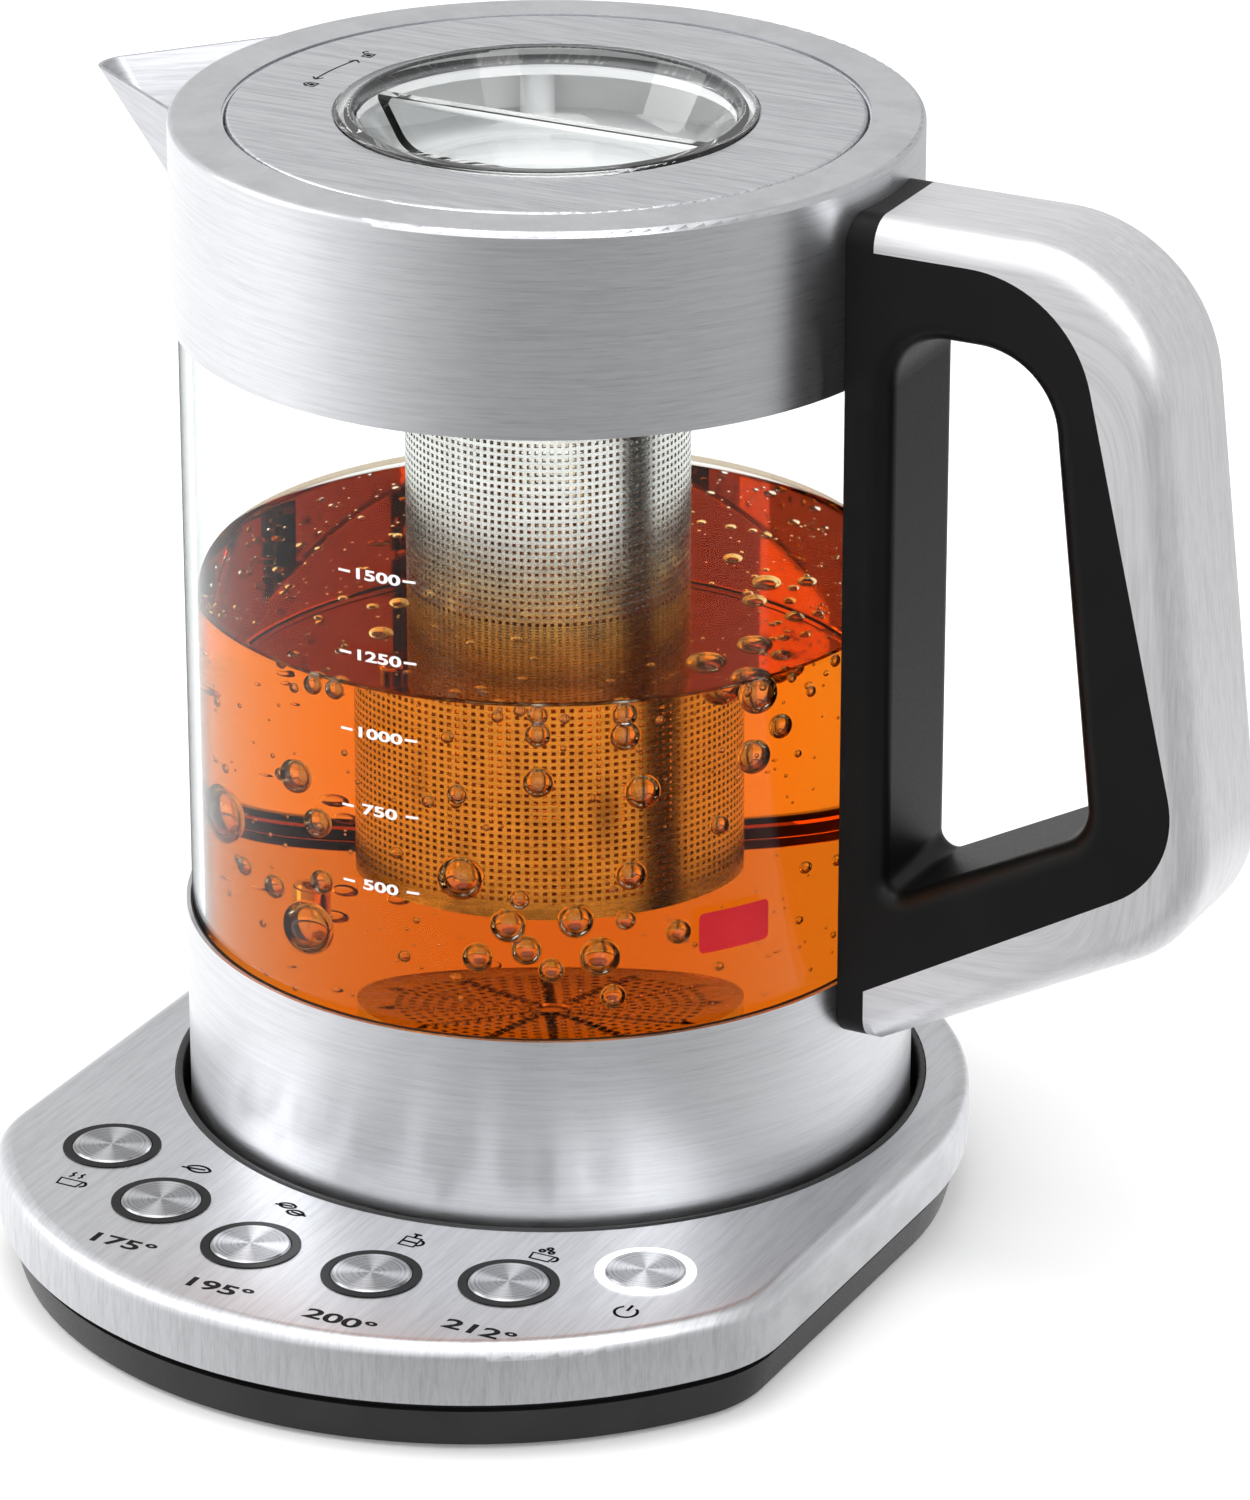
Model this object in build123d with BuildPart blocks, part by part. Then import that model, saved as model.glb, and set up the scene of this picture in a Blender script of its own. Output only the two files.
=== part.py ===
"""Glass tea maker: a lift-off jug with a spout, a handle and an infuser lid, on a six-button heating base.

Frame: millimetres, +Z up. The origin is on the jug's axis, in the plane that the feet stand on.
+X runs from the jug's axis to the handle, the spout points along -X and the buttons face -Y.
"""

import os
from math import cos, radians, sin, sqrt

from build123d import *

# ---------------------------------------------------------------- shared sizes
sheet_t = 0.8  # drawn steel sheet
slip = 0.2  # clearance between two pieces that slide or turn on each other
fit_gap = 0.05  # clearance of a piece pressed or screwed into its seat
screw_r = 1.5
screw_head_r = 2.7
screw_head_h = 1.2
screw_bite = 5.0  # how deep a screw stands in its boss
boss_r = 3.6  # plastic boss round a screw

# ---------------------------------------------------------------- overall
jug_r = 73.0  # outer radius of both steel collars
jug_top = 226.5
lower_collar_top = 63.0
deck_z = 24.0  # top of the base's steel deck
well_floor_z = 12.3  # top of the floor that the jug stands over
well_gap = 3.2  # from the jug to the edge of the deck's opening
deck_margin = 8.8  # deck left beside the opening
button_row_gap = 23.8  # from the opening's edge to the front buttons' centres
button_front_margin = 27.0  # from those centres to the base's front edge

# ---------------------------------------------------------------- base
bow_flatness = 11.0  # how much larger the bowed front's radius is than the rounded back's
front_corner_r = 30.0  # rounding between the bowed front and the straight sides
skirt_h = 12.5  # height of the steel cover's side
cover_edge_r = 3.2  # rounding of the deck's outer edge
foot_h = 1.2
foot_r = 7.0
foot_plug_r = 3.0
foot_plug_h = 1.2
front_foot_side_inset = 27.0
front_foot_inset = 49.0
rear_foot_inset = 37.0
tray_wall = 2.0
tray_groove_inset = 3.2  # shadow groove between the cover and the tray
tray_groove_h = 2.0
tray_top_inset = 1.6
tray_foot_inset = 3.8
frame_deck_t = 2.2
frame_inset = 4.2
side_screw_inset = 15.0
side_screw_back = 14.2  # behind the front of the deck's opening
front_screw_gap = 11.0  # in front of the front buttons' centres
rear_screw_inset = 12.6
rear_screw_half = 22.0
well_wall = 1.6
well_floor_t = 1.8
trim_h = 2.2
trim_proud = 0.3
trim_edge_r = 0.5
gland_r = 4.3
gland_bore_r = 3.3
gland_z = 6.8
gland_length = 6.4
gland_proud = 1.6

# ---------------------------------------------------------------- buttons
button_count = 6
button_side_inset = 4.5  # the arc of the buttons' centres is this much smaller than the base's half width
button_pitch = 19.0  # degrees between two buttons
cap_r = 7.8
cap_proud = 0.6
cap_t = 1.2
cap_wall = 1.0
cap_edge = 0.35
cap_catch = 0.7  # how far a cap's catch reaches under the frame
cap_catch_h = 1.0
light_ring_r = 9.75  # outer radius of the light ring round a cap
light_ring_proud = 0.25
light_ring_catch = 0.85
light_ring_catch_h = 1.0
stem_r = 1.75
stem_dip = 1.0  # how deep a cap's stem stands in its switch
board_top = 15.6
board_t = 1.6
board_inset = 8.0
board_back_inset = 28.2  # behind the front of the deck's opening
board_post_r = 3.0
switch_side = 6.2
switch_h = 3.5
switch_bore_depth = 2.4
relay_length = 20.0
relay_width = 15.0
relay_floor_gap = 0.8
relay_back = 4.5  # behind the front buttons' centres

# ---------------------------------------------------------------- round connector
post_r = 17.5  # the base's half of the connector
post_h = 12.7  # above the well's floor
post_edge_r = 2.0
post_seat_width = 4.5
post_flange_width = 9.5
post_flange_t = 2.0
pin_r = 2.8
pin_tube_r = 3.2
pin_well_r = 4.0
pin_well_depth = 13.0
blade_r = 9.9
blade_t = 1.0
blade_slot_in_gap = 0.4
blade_slot_out_gap = 1.1
blade_slot_depth = 11.0
contact_h = 8.0
contact_rise = 1.5  # gap under the moving contacts' tips
socket_gap = 0.5  # running clearance round the post
socket_wall = 2.0
socket_roof_gap = 0.6
socket_top_t = 2.0
socket_flange_width = 4.0

# ---------------------------------------------------------------- jug
upper_collar_h = 40.5
collar_lift = 0.5  # the lower collar's foot, above the well's floor
collar_foot_width = 6.0  # how far the lower collar turns under the jug
collar_foot_r = 5.0
collar_edge_r = 1.2
rim_width = 10.5  # flat rim between the upper collar's wall and the mouth
glass_inset = 1.2
glass_wall = 2.4
glass_overlap = 5.0  # glass hidden behind the upper collar
floor_drop = 3.3  # from the lower collar's top down to the water floor
seal_t = 1.0
seal_lip = 1.4
seal_lip_t = 0.8
glass_edge_r = 0.6
bottom_cover_t = 2.5
cover_hub_wall = 2.4
spreader_inset = 18.0
spreader_t = 2.5
element_inset = 15.0  # inside the heat spreader's edge
element_tube_r = 3.5
element_gap = 40.0  # degrees left open between the heating element's ends
control_r = 20.0
cutout_r = 9.0
cutout_h = 6.4
cutout_gap = 1.2
probe_inset = 19.0
probe_r = 2.5
probe_edge_r = 2.0
probe_reach = 6.0
probe_root = 6.0
stud_r = 3.2
stud_inset = 12.0
stud_count = 3
neck_inset = 3.0
neck_wall = 2.4
neck_flange_t = 2.0
bore_step = 0.9  # the lid's bore is this much smaller than the mouth
bore_wall = 2.0
bore_depth = 18.5
lid_seat_gap = 0.5
lid_seat_depth = 4.2
window_low_depth = 27.5
window_high_depth = 6.0
window_low_half = 5.0
window_high_half = 20.0
spout_depth = 39.5
spout_trim = 0.5  # the beak is drawn up to here below the jug's top, then cut along its sloping lip
spout_low_reach = 2.0
spout_high_reach = 33.4
spout_spread = 37.1  # half the beak's plan angle, in degrees
spout_low_r = 1.6
spout_high_r = 6.0
lip_reach = 26.5  # from the jug to the lip's tip
lip_depth = 4.5
lip_slope = 5.0  # degrees that the lip rises towards the jug

# ---------------------------------------------------------------- handle, from the jug and its lower collar
handle_half = 15.5  # half of its width
handle_edge_r = 5.5
handle_cover_t = 1.2
handle_root = 13.0  # the outlines are drawn from inside the jug, then cut to its wall
handle_top_depth = 6.0
handle_bow_reach = 60.6
handle_low_reach = 75.7
handle_low_rise = 24.7
handle_heel_reach = 6.5
handle_heel_drop = 11.5
handle_top_r = 32.0
handle_low_r = 26.0
back_plate_t = 4.0  # the steel cover starts off the black back plate
grip_top_drop = 6.2  # below the handle's top
grip_bow_inset = 16.7  # inside the handle's own corners
grip_low_inset = 5.5
grip_low_lift = 12.7
grip_heel_drop = 0.4
grip_top_r = 26.0
grip_low_r = 21.0
finger_gap = 7.5
finger_top_drop = 15.8  # below the grip's top
finger_bow_inset = 4.6  # inside the grip's corners
finger_low_inset = 20.4
finger_low_lift = 3.7
finger_heel_rise = 19.1
finger_radii = (16.0, 9.0, 3.0, 11.0)
finger_edge_r = 4.0
strap_gap = 2.2
strap_t = 1.5
strap_half = 6.0
strap_end = 2.2  # strap beyond its outermost screws
low_screw_drop = 7.5
middle_screw_depth = 27.5
top_screw_depth = 13.5
handle_screw_reach = 7.0

# ---------------------------------------------------------------- lid
lid_gap = 0.8  # open ring between the lid and the mouth
lid_edge_r = 0.7
lid_skirt_h = 3.8
lid_band = 20.4  # width of the steel ring round the dial
core_gap = 1.7  # from the lid's bore to its core
core_wall = 2.0
core_depth = 20.5
core_deck_t = 2.2
lid_base_t = 2.0
lug_count = 3
lug_first = 60.0  # degrees from the handle to the first lug, with the lid unlocked
lug_half = 10.0
lug_reach = 1.5
lug_depth = 15.6
lug_h = 2.5
ledge_gap = 0.3
ledge_h = 2.3
ledge_start = -42.0  # the ledge that a lug turns under, in degrees from the lug
ledge_end = -12.0
lid_seal_depth = 9.7
lid_seal_h = 2.8
lid_seal_bite = 1.1  # how deep the ring seal sits in the core
seal_backing = 2.2
dial_gap = 0.3
dial_proud = 0.8
dial_wall = 2.4
dial_edge_r = 0.9
dial_flange_width = 3.5
dial_flange_t = 2.6
dial_rim_width = 3.2
bowl_slope_width = 7.8  # plan width of the bowl's sloping wall
bowl_depth = 13.0
bowl_corner_r = 7.0
bar_t = 4.4
bar_depth = 1.8
bar_edge_r = 1.2
gasket_t = 0.8
gasket_seat_t = 1.6
infuser_socket_gap = 0.15
infuser_socket_wall = 2.0
infuser_socket_h = 10.0
lid_screw_inset = 8.9
lid_screw_count = 3

# ---------------------------------------------------------------- infuser
basket_r = 28.3
basket_t = 0.5
basket_floor_t = 0.6
infuser_gap = 14.3  # from the water floor to the basket
rim_t = 0.55
rim_below = 2.0  # rim sleeve below the lid's socket
rim_top_gap = 0.5
basket_top_gap = 2.0

# ---------------------------------------------------------------- worked out from the sizes above
well_r = jug_r + well_gap
base_r = well_r + deck_margin
button_row = well_r + button_row_gap
front_reach = button_row + button_front_margin
front_arc_r = base_r + bow_flatness
front_arc_y = front_reach - front_arc_r
cover_low = deck_z - skirt_h
frame_top = deck_z - sheet_t
frame_low = frame_top - frame_deck_t
well_in_r = well_r - well_wall
well_under = well_floor_z - well_floor_t
trim_low = deck_z - trim_h
tray_floor = foot_h + tray_wall
tray_top = cover_low - slip
tray_step = tray_top - tray_groove_h
gland_back_y = base_r - tray_groove_inset + gland_proud
button_arc_r = base_r - button_side_inset
button_arc_y = button_arc_r - button_row
button_angles = [button_pitch * (i - (button_count - 1) / 2) for i in range(button_count)]
cap_catch_r = cap_r + cap_catch
board_low = board_top - board_t
board_back_y = board_back_inset - well_r
board_screw_angles = [button_pitch * step for step in (-2, -1, 1, 2)]
relay_h = board_low - tray_floor - relay_floor_gap
relay_y = relay_back - button_row
cap_top = deck_z + cap_proud
catch_top = frame_low - slip / 2
catch_low = catch_top - cap_catch_h
stem_low = board_top + switch_h - stem_dip
post_top = well_floor_z + post_h
post_seat_r = post_r + post_seat_width
post_flange_r = post_r + post_flange_width
pin_well_z = post_top - pin_well_depth
blade_slot_in_r = blade_r - blade_t - blade_slot_in_gap
blade_slot_out_r = blade_r + blade_slot_out_gap
blade_slot_z = post_top - blade_slot_depth
socket_in_r = post_r + socket_gap
socket_out_r = socket_in_r + socket_wall
socket_flange_r = socket_out_r + socket_flange_width
socket_roof = post_top + socket_roof_gap
socket_top = socket_roof + socket_top_t
cover_hole_r = socket_out_r + slip
control_low = socket_top + slip
lower_collar_low = well_floor_z + collar_lift
jug_under = well_floor_z + slip
collar_in_r = jug_r - sheet_t
collar_foot_in_r = jug_r - collar_foot_width
upper_collar_low = jug_top - upper_collar_h
flange_low = jug_top - sheet_t
mouth_r = jug_r - rim_width
glass_r = jug_r - glass_inset
glass_in_r = glass_r - glass_wall
glass_top = upper_collar_low + glass_overlap
water_floor = lower_collar_top - floor_drop
glass_low = water_floor + seal_t
plate_under = water_floor - sheet_t
spreader_r = jug_r - spreader_inset
spreader_under = plate_under - spreader_t
element_r = spreader_r - element_inset
probe_x = probe_inset - spreader_r
control_top = spreader_under - cutout_h
cutout_x = cutout_r + cutout_gap / 2
stud_ring_r = jug_r - stud_inset
seal_out_r = collar_in_r - fit_gap
neck_r = jug_r - neck_inset
neck_low = glass_top + seal_t
bore_r = mouth_r - bore_step
bore_low = jug_top - bore_depth
lid_seat_z = jug_top - lid_seat_depth
window_low = jug_top - window_low_depth
window_high = jug_top - window_high_depth
spout_low = jug_top - spout_depth
spout_high = jug_top - spout_trim
spout_low_x = -jug_r - spout_low_reach
spout_high_x = -jug_r - spout_high_reach
lip_tip = (-jug_r - lip_reach, jug_top - lip_depth)
handle_root_x = jug_r - handle_root
handle_top = jug_top - handle_top_depth
handle_bow_x = jug_r + handle_bow_reach
handle_low_x = jug_r + handle_low_reach
handle_low_z = lower_collar_top + handle_low_rise
handle_heel_z = lower_collar_top - handle_heel_drop
back_plate_x = jug_r + back_plate_t
grip_root_x = handle_root_x - handle_edge_r
grip_top = handle_top - grip_top_drop
grip_bow_x = handle_bow_x - grip_bow_inset
grip_low_x = handle_low_x - grip_low_inset
grip_low_z = handle_low_z + grip_low_lift
grip_heel_z = lower_collar_top - grip_heel_drop
finger_x = jug_r + finger_gap
finger_top = grip_top - finger_top_drop
strap_x = jug_r + strap_gap
handle_screw_z = (lower_collar_top - low_screw_drop, jug_top - middle_screw_depth, jug_top - top_screw_depth)
strap_low = handle_screw_z[0] - strap_end
strap_high = handle_screw_z[-1] + strap_end
lid_r = mouth_r - lid_gap
lid_hole_r = lid_r - lid_band
core_r = bore_r - core_gap
core_low = jug_top - core_depth
lug_low = jug_top - lug_depth
lid_seal_low = jug_top - lid_seal_depth
lid_screw_ring_r = core_r - lid_screw_inset
dial_rim_r = lid_hole_r - dial_gap
dial_flange_r = dial_rim_r + dial_flange_width
dial_low = flange_low - dial_flange_t
dial_pocket_r = dial_flange_r + slip
bowl_r = dial_rim_r - dial_rim_width
bowl_floor_r = bowl_r - bowl_slope_width
bowl_floor_z = jug_top - bowl_depth
bar_top = jug_top - bar_depth
gasket_low = dial_low - gasket_t
gasket_seat_low = gasket_low - gasket_seat_t
rim_in_r = basket_r + fit_gap
rim_r = rim_in_r + rim_t
infuser_socket_r = rim_r + infuser_socket_gap
infuser_socket_low = core_low - infuser_socket_h
rim_low = infuser_socket_low - rim_below
rim_high = core_low - rim_top_gap
basket_high = core_low - basket_top_gap
basket_low = water_floor + infuser_gap
front_foot = (base_r - front_foot_side_inset, front_foot_inset - front_reach)
rear_foot = base_r - rear_foot_inset
foot_spots = [
    (-front_foot[0], front_foot[1]),
    front_foot,
    (-rear_foot, rear_foot),
    (rear_foot, rear_foot),
    (0, 0),
]
side_screw = (base_r - side_screw_inset, side_screw_back - well_r)
rear_screw_y = well_in_r - rear_screw_inset
base_screw_spots = [
    (-side_screw[0], side_screw[1]),
    side_screw,
    (0, -button_row - front_screw_gap),
    (-rear_screw_half, rear_screw_y),
    (rear_screw_half, rear_screw_y),
]
front_screw_spots = base_screw_spots[:3]
rear_screw_spots = base_screw_spots[3:]
from_below = (Align.CENTER, Align.CENTER, Align.MIN)
from_above = (Align.CENTER, Align.CENTER, Align.MAX)


# ---------------------------------------------------------------- shared shapes
def on_button_arc(angle, height):
    """A point over the buttons' arc, at an angle from the front, positive towards the handle."""
    turn = radians(angle)
    return (button_arc_r * sin(turn), button_arc_y - button_arc_r * cos(turn), height)


def raised(spots, height):
    """The plan points of a list, lifted to one height."""
    return [(x, y, height) for x, y in spots]


def facing_down(spots, height):
    """Planes at the plan points of a list that look down from one height."""
    return [Plane((x, y, height), z_dir=(0, 0, -1)) for x, y in spots]


def upright(angle):
    """The plane through the jug's axis at an angle from the handle, with local x outwards and y upwards."""
    turn = radians(angle)
    return Plane((0, 0, 0), x_dir=(cos(turn), sin(turn), 0), z_dir=(sin(turn), -cos(turn), 0))


def base_outline(height, inset):
    """The base's plan outline at a height, drawn in all round by an inset."""
    half = base_r - inset
    bow_r = front_arc_r - inset
    meet_y = -front_arc_y - sqrt(bow_r**2 - half**2)
    with BuildSketch(Plane.XY.offset(height)) as outline:
        with BuildLine():
            ThreePointArc((half, 0), (0, half), (-half, 0))
            Line((-half, 0), (-half, meet_y))
            ThreePointArc((-half, meet_y), (0, -front_arc_y - bow_r), (half, meet_y))
            Line((half, meet_y), (half, 0))
        make_face()
        corners = outline.vertices().filter_by(lambda v: abs(v.Y - meet_y) < 0.01)
        fillet(corners, radius=front_corner_r - inset)
    return outline.sketch


def ring(outer_r, inner_r, low, high, mode=Mode.ADD):
    """Adds a plain ring about the jug's axis to the part in hand, or cuts one out of it."""
    with BuildSketch(Plane.XY.offset(low)) as band:
        Circle(outer_r)
        if inner_r > 0:
            Circle(inner_r, mode=Mode.SUBTRACT)
    extrude(band.sketch, amount=high - low, mode=mode)


def ring_piece(outer_r, inner_r, low, high, start, end):
    """Adds part of a ring about the jug's axis, from one angle to another, in degrees from the handle."""
    with BuildSketch(upright(start)) as section:
        with Locations(((inner_r + outer_r) / 2, (low + high) / 2)):
            Rectangle(outer_r - inner_r, high - low)
    revolve(section.sketch, axis=Axis.Z, revolution_arc=end - start)


def side_outline(points, radii, inset=0.0):
    """An outline in the handle's middle plane, from (x, z) corners that each have a rounding, or 0."""
    with BuildSketch(Plane.XZ) as outline:
        with BuildLine():
            Polyline(*points, close=True)
        make_face()
        for (x, z), radius in zip(points, radii):
            if radius > 0:
                fillet(outline.vertices().sort_by_distance((x, z, 0))[0], radius=radius)
        if inset > 0:
            offset(amount=-inset, mode=Mode.REPLACE)
    return outline.sketch


os.makedirs("parts", exist_ok=True)

# ================================================================ base
with BuildPart() as cover_inside:
    extrude(base_outline(cover_low, sheet_t), amount=skirt_h - sheet_t)
    fillet(cover_inside.edges().group_by(Axis.Z)[-1], radius=cover_edge_r - sheet_t)

with BuildPart() as top_cover:
    extrude(base_outline(cover_low, 0), amount=skirt_h)
    fillet(top_cover.edges().group_by(Axis.Z)[-1], radius=cover_edge_r)
    add(cover_inside.part, mode=Mode.SUBTRACT)
    with Locations((0, 0, deck_z)):
        Hole(radius=well_r + fit_gap)
    with Locations([on_button_arc(a, deck_z) for a in button_angles]):
        Hole(radius=light_ring_r + fit_gap)
top_cover.part.label = "top_cover"
export_step(top_cover.part, "parts/top_cover.step")

with BuildPart() as tray_inside:
    loft(
        [
            base_outline(tray_floor, tray_foot_inset + tray_wall),
            base_outline(tray_step, tray_groove_inset + tray_wall),
        ],
        ruled=True,
    )
    extrude(base_outline(tray_step, tray_groove_inset + tray_wall), amount=tray_groove_h)

with BuildPart() as base_tray:
    loft([base_outline(foot_h, tray_foot_inset), base_outline(tray_step, tray_top_inset)], ruled=True)
    extrude(base_outline(tray_step, tray_groove_inset), amount=tray_groove_h)
    add(tray_inside.part, mode=Mode.SUBTRACT)
    with Locations([on_button_arc(a, tray_floor) for a in board_screw_angles]):
        Cylinder(board_post_r, board_low - tray_floor, align=from_below)
    with Locations([on_button_arc(a, board_low) for a in board_screw_angles]):
        Hole(radius=screw_r + fit_gap, depth=screw_bite + slip)
    with Locations(*facing_down(base_screw_spots, foot_h)):
        CounterBoreHole(
            radius=screw_r + slip,
            counter_bore_radius=screw_head_r + slip,
            counter_bore_depth=screw_head_h,
            depth=2 * tray_wall,
        )
    with Locations(*facing_down(foot_spots, foot_h)):
        Hole(radius=foot_plug_r + fit_gap, depth=foot_plug_h)
    with Locations(Plane((0, gland_back_y - gland_length, gland_z), z_dir=(0, 1, 0))):
        Cylinder(gland_r + fit_gap, base_r, align=from_below, mode=Mode.SUBTRACT)
base_tray.part.label = "base_tray"
export_step(base_tray.part, "parts/base_tray.step")

with BuildPart() as rubber_feet:
    with Locations(raised(foot_spots, 0)):
        Cylinder(foot_r, foot_h, align=from_below)
        Cylinder(foot_plug_r, foot_h + foot_plug_h, align=from_below)
rubber_feet.part.label = "rubber_feet"
export_step(rubber_feet.part, "parts/rubber_feet.step")

with BuildPart() as base_frame:
    extrude(base_outline(frame_low, frame_inset), amount=frame_deck_t)
    ring(well_in_r, 0, frame_low, frame_top, mode=Mode.SUBTRACT)
    ring(well_r, well_in_r, well_under, trim_low)
    ring(well_r, post_seat_r, well_under, well_floor_z)
    ring(well_r + fit_gap, well_in_r, trim_low, frame_top, mode=Mode.SUBTRACT)
    with Locations([on_button_arc(a, frame_top) for a in button_angles]):
        Hole(radius=light_ring_r + fit_gap)
    with Locations(raised(front_screw_spots, tray_floor)):
        Cylinder(boss_r, frame_low - tray_floor, align=from_below)
    with Locations(raised(rear_screw_spots, tray_floor)):
        Cylinder(boss_r, well_under - tray_floor, align=from_below)
    with Locations(*facing_down(base_screw_spots, tray_floor)):
        Hole(radius=screw_r + fit_gap, depth=screw_bite + slip)
base_frame.part.label = "base_frame"
export_step(base_frame.part, "parts/base_frame.step")

with BuildPart() as recess_trim:
    ring(well_r, well_in_r, trim_low, deck_z + trim_proud)
    fillet(recess_trim.edges().group_by(Axis.Z)[-1], radius=trim_edge_r)
recess_trim.part.label = "recess_trim"
export_step(recess_trim.part, "parts/recess_trim.step")

with BuildPart() as base_screws:
    with Locations(raised(base_screw_spots, foot_h)):
        Cylinder(screw_head_r, screw_head_h, align=from_below)
        Cylinder(screw_r, tray_wall + screw_bite, align=from_below)
base_screws.part.label = "base_screws"
export_step(base_screws.part, "parts/base_screws.step")

with BuildPart() as cord_gland:
    with BuildSketch(Plane((0, gland_back_y, gland_z), z_dir=(0, -1, 0))):
        Circle(gland_r)
        Circle(gland_bore_r, mode=Mode.SUBTRACT)
    extrude(amount=gland_length)
cord_gland.part.label = "cord_gland"
export_step(cord_gland.part, "parts/cord_gland.step")

with BuildPart() as control_board:
    extrude(base_outline(board_low, board_inset), amount=board_t)
    split(bisect_by=Plane.XZ.offset(-board_back_y), keep=Keep.TOP)
    ring(well_r + board_t, 0, board_low, board_top, mode=Mode.SUBTRACT)
    with Locations([on_button_arc(a, board_top) for a in board_screw_angles]):
        Hole(radius=screw_r + slip)
    with Locations(raised(front_screw_spots, board_top)):
        Hole(radius=boss_r + slip)
control_board.part.label = "control_board"
export_step(control_board.part, "parts/control_board.step")

with BuildPart() as board_screws:
    with Locations([on_button_arc(a, board_top) for a in board_screw_angles]):
        Cylinder(screw_head_r, screw_head_h, align=from_below)
        Cylinder(screw_r, board_t + screw_bite, align=from_above)
board_screws.part.label = "board_screws"
export_step(board_screws.part, "parts/board_screws.step")

with BuildPart() as button_switches:
    with Locations([on_button_arc(a, board_top) for a in button_angles]):
        Box(switch_side, switch_side, switch_h, align=from_below)
    with Locations([on_button_arc(a, board_top + switch_h) for a in button_angles]):
        Hole(radius=stem_r + slip, depth=switch_bore_depth)
button_switches.part.label = "button_switches"
export_step(button_switches.part, "parts/button_switches.step")

with BuildPart() as power_relay:
    with Locations((0, relay_y, board_low)):
        Box(relay_length, relay_width, relay_h, align=from_above)
power_relay.part.label = "power_relay"
export_step(power_relay.part, "parts/power_relay.step")

for number, angle in enumerate(button_angles, start=1):
    with BuildPart() as light_ring:
        with BuildSketch(Plane(on_button_arc(angle, board_top))):
            Circle(light_ring_r)
        extrude(amount=deck_z + light_ring_proud - board_top)
        with BuildSketch(Plane(on_button_arc(angle, frame_low))):
            Circle(light_ring_r + light_ring_catch)
        extrude(amount=-light_ring_catch_h)
        with BuildSketch(Plane(on_button_arc(angle, board_top))):
            Circle(cap_catch_r + slip)
        extrude(amount=frame_low - board_top, mode=Mode.SUBTRACT)
        with BuildSketch(Plane(on_button_arc(angle, frame_low))):
            Circle(cap_r + slip)
        extrude(amount=deck_z + light_ring_proud - frame_low, mode=Mode.SUBTRACT)
    light_ring.part.label = f"light_ring_{number}"
    export_step(light_ring.part, f"parts/light_ring_{number}.step")

    with BuildPart() as button:
        with BuildSketch(Plane(on_button_arc(angle, catch_low))):
            Circle(cap_r)
        extrude(amount=cap_top - catch_low)
        chamfer(button.edges().group_by(Axis.Z)[-1], length=cap_edge)
        with BuildSketch(Plane(on_button_arc(angle, catch_low))):
            Circle(cap_catch_r)
        extrude(amount=cap_catch_h)
        with BuildSketch(Plane(on_button_arc(angle, catch_low))):
            Circle(cap_r - cap_wall)
        extrude(amount=cap_top - cap_t - catch_low, mode=Mode.SUBTRACT)
        with BuildSketch(Plane(on_button_arc(angle, stem_low))):
            Circle(stem_r)
        extrude(amount=cap_top - cap_t / 2 - stem_low)
    button.part.label = f"button_{number}"
    export_step(button.part, f"parts/button_{number}.step")

# ================================================================ round connector
with BuildPart() as base_connector:
    ring(post_r, 0, well_under - post_flange_t, post_top)
    fillet(base_connector.edges().group_by(Axis.Z)[-1], radius=post_edge_r)
    ring(post_seat_r - fit_gap, 0, well_under - post_flange_t, well_floor_z)
    ring(post_flange_r, 0, well_under - post_flange_t, well_under)
    ring(pin_well_r, 0, pin_well_z, post_top, mode=Mode.SUBTRACT)
    ring(blade_slot_out_r, blade_slot_in_r, blade_slot_z, post_top, mode=Mode.SUBTRACT)
base_connector.part.label = "base_connector"
export_step(base_connector.part, "parts/base_connector.step")

with BuildPart() as base_contacts:
    ring(pin_well_r - fit_gap, pin_tube_r, pin_well_z, pin_well_z + contact_h)
    ring(blade_slot_out_r - fit_gap, blade_r + slip, blade_slot_z, blade_slot_z + contact_h)
base_contacts.part.label = "base_contacts"
export_step(base_contacts.part, "parts/base_contacts.step")

with BuildPart() as jug_socket:
    ring(socket_out_r, socket_in_r, jug_under, socket_roof)
    ring(socket_flange_r, pin_r + fit_gap, socket_roof, socket_top)
    ring(
        blade_r + fit_gap,
        blade_r - blade_t - fit_gap,
        socket_roof,
        socket_roof + socket_top_t / 2,
        mode=Mode.SUBTRACT,
    )
jug_socket.part.label = "jug_socket"
export_step(jug_socket.part, "parts/jug_socket.step")

with BuildPart() as socket_contacts:
    ring(pin_r, 0, pin_well_z + contact_rise, socket_top)
    ring(blade_r, blade_r - blade_t, blade_slot_z + contact_rise, socket_roof + socket_top_t / 2)
socket_contacts.part.label = "socket_contacts"
export_step(socket_contacts.part, "parts/socket_contacts.step")

# ================================================================ underside of the jug
with BuildPart() as lower_collar:
    ring(jug_r, 0, lower_collar_low, lower_collar_top)
    fillet(lower_collar.edges().group_by(Axis.Z)[0], radius=collar_foot_r)
    ring(collar_foot_in_r, 0, lower_collar_low, lower_collar_top, mode=Mode.SUBTRACT)
    with BuildSketch(Plane.XZ) as hollow:
        with BuildLine():
            Polyline(
                (collar_foot_in_r, lower_collar_low + sheet_t),
                (collar_in_r, lower_collar_low + sheet_t),
                (collar_in_r, lower_collar_top),
                (collar_foot_in_r, lower_collar_top),
                close=True,
            )
        make_face()
        inner_corner = (collar_in_r, lower_collar_low + sheet_t, 0)
        fillet(hollow.vertices().sort_by_distance(inner_corner)[0], radius=collar_foot_r - sheet_t)
    revolve(axis=Axis.Z, mode=Mode.SUBTRACT)
    with Locations(Plane((collar_in_r, 0, handle_screw_z[0]), z_dir=(1, 0, 0))):
        Cylinder(screw_r + slip, 4 * sheet_t, mode=Mode.SUBTRACT)
lower_collar.part.label = "lower_collar"
export_step(lower_collar.part, "parts/lower_collar.step")

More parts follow.
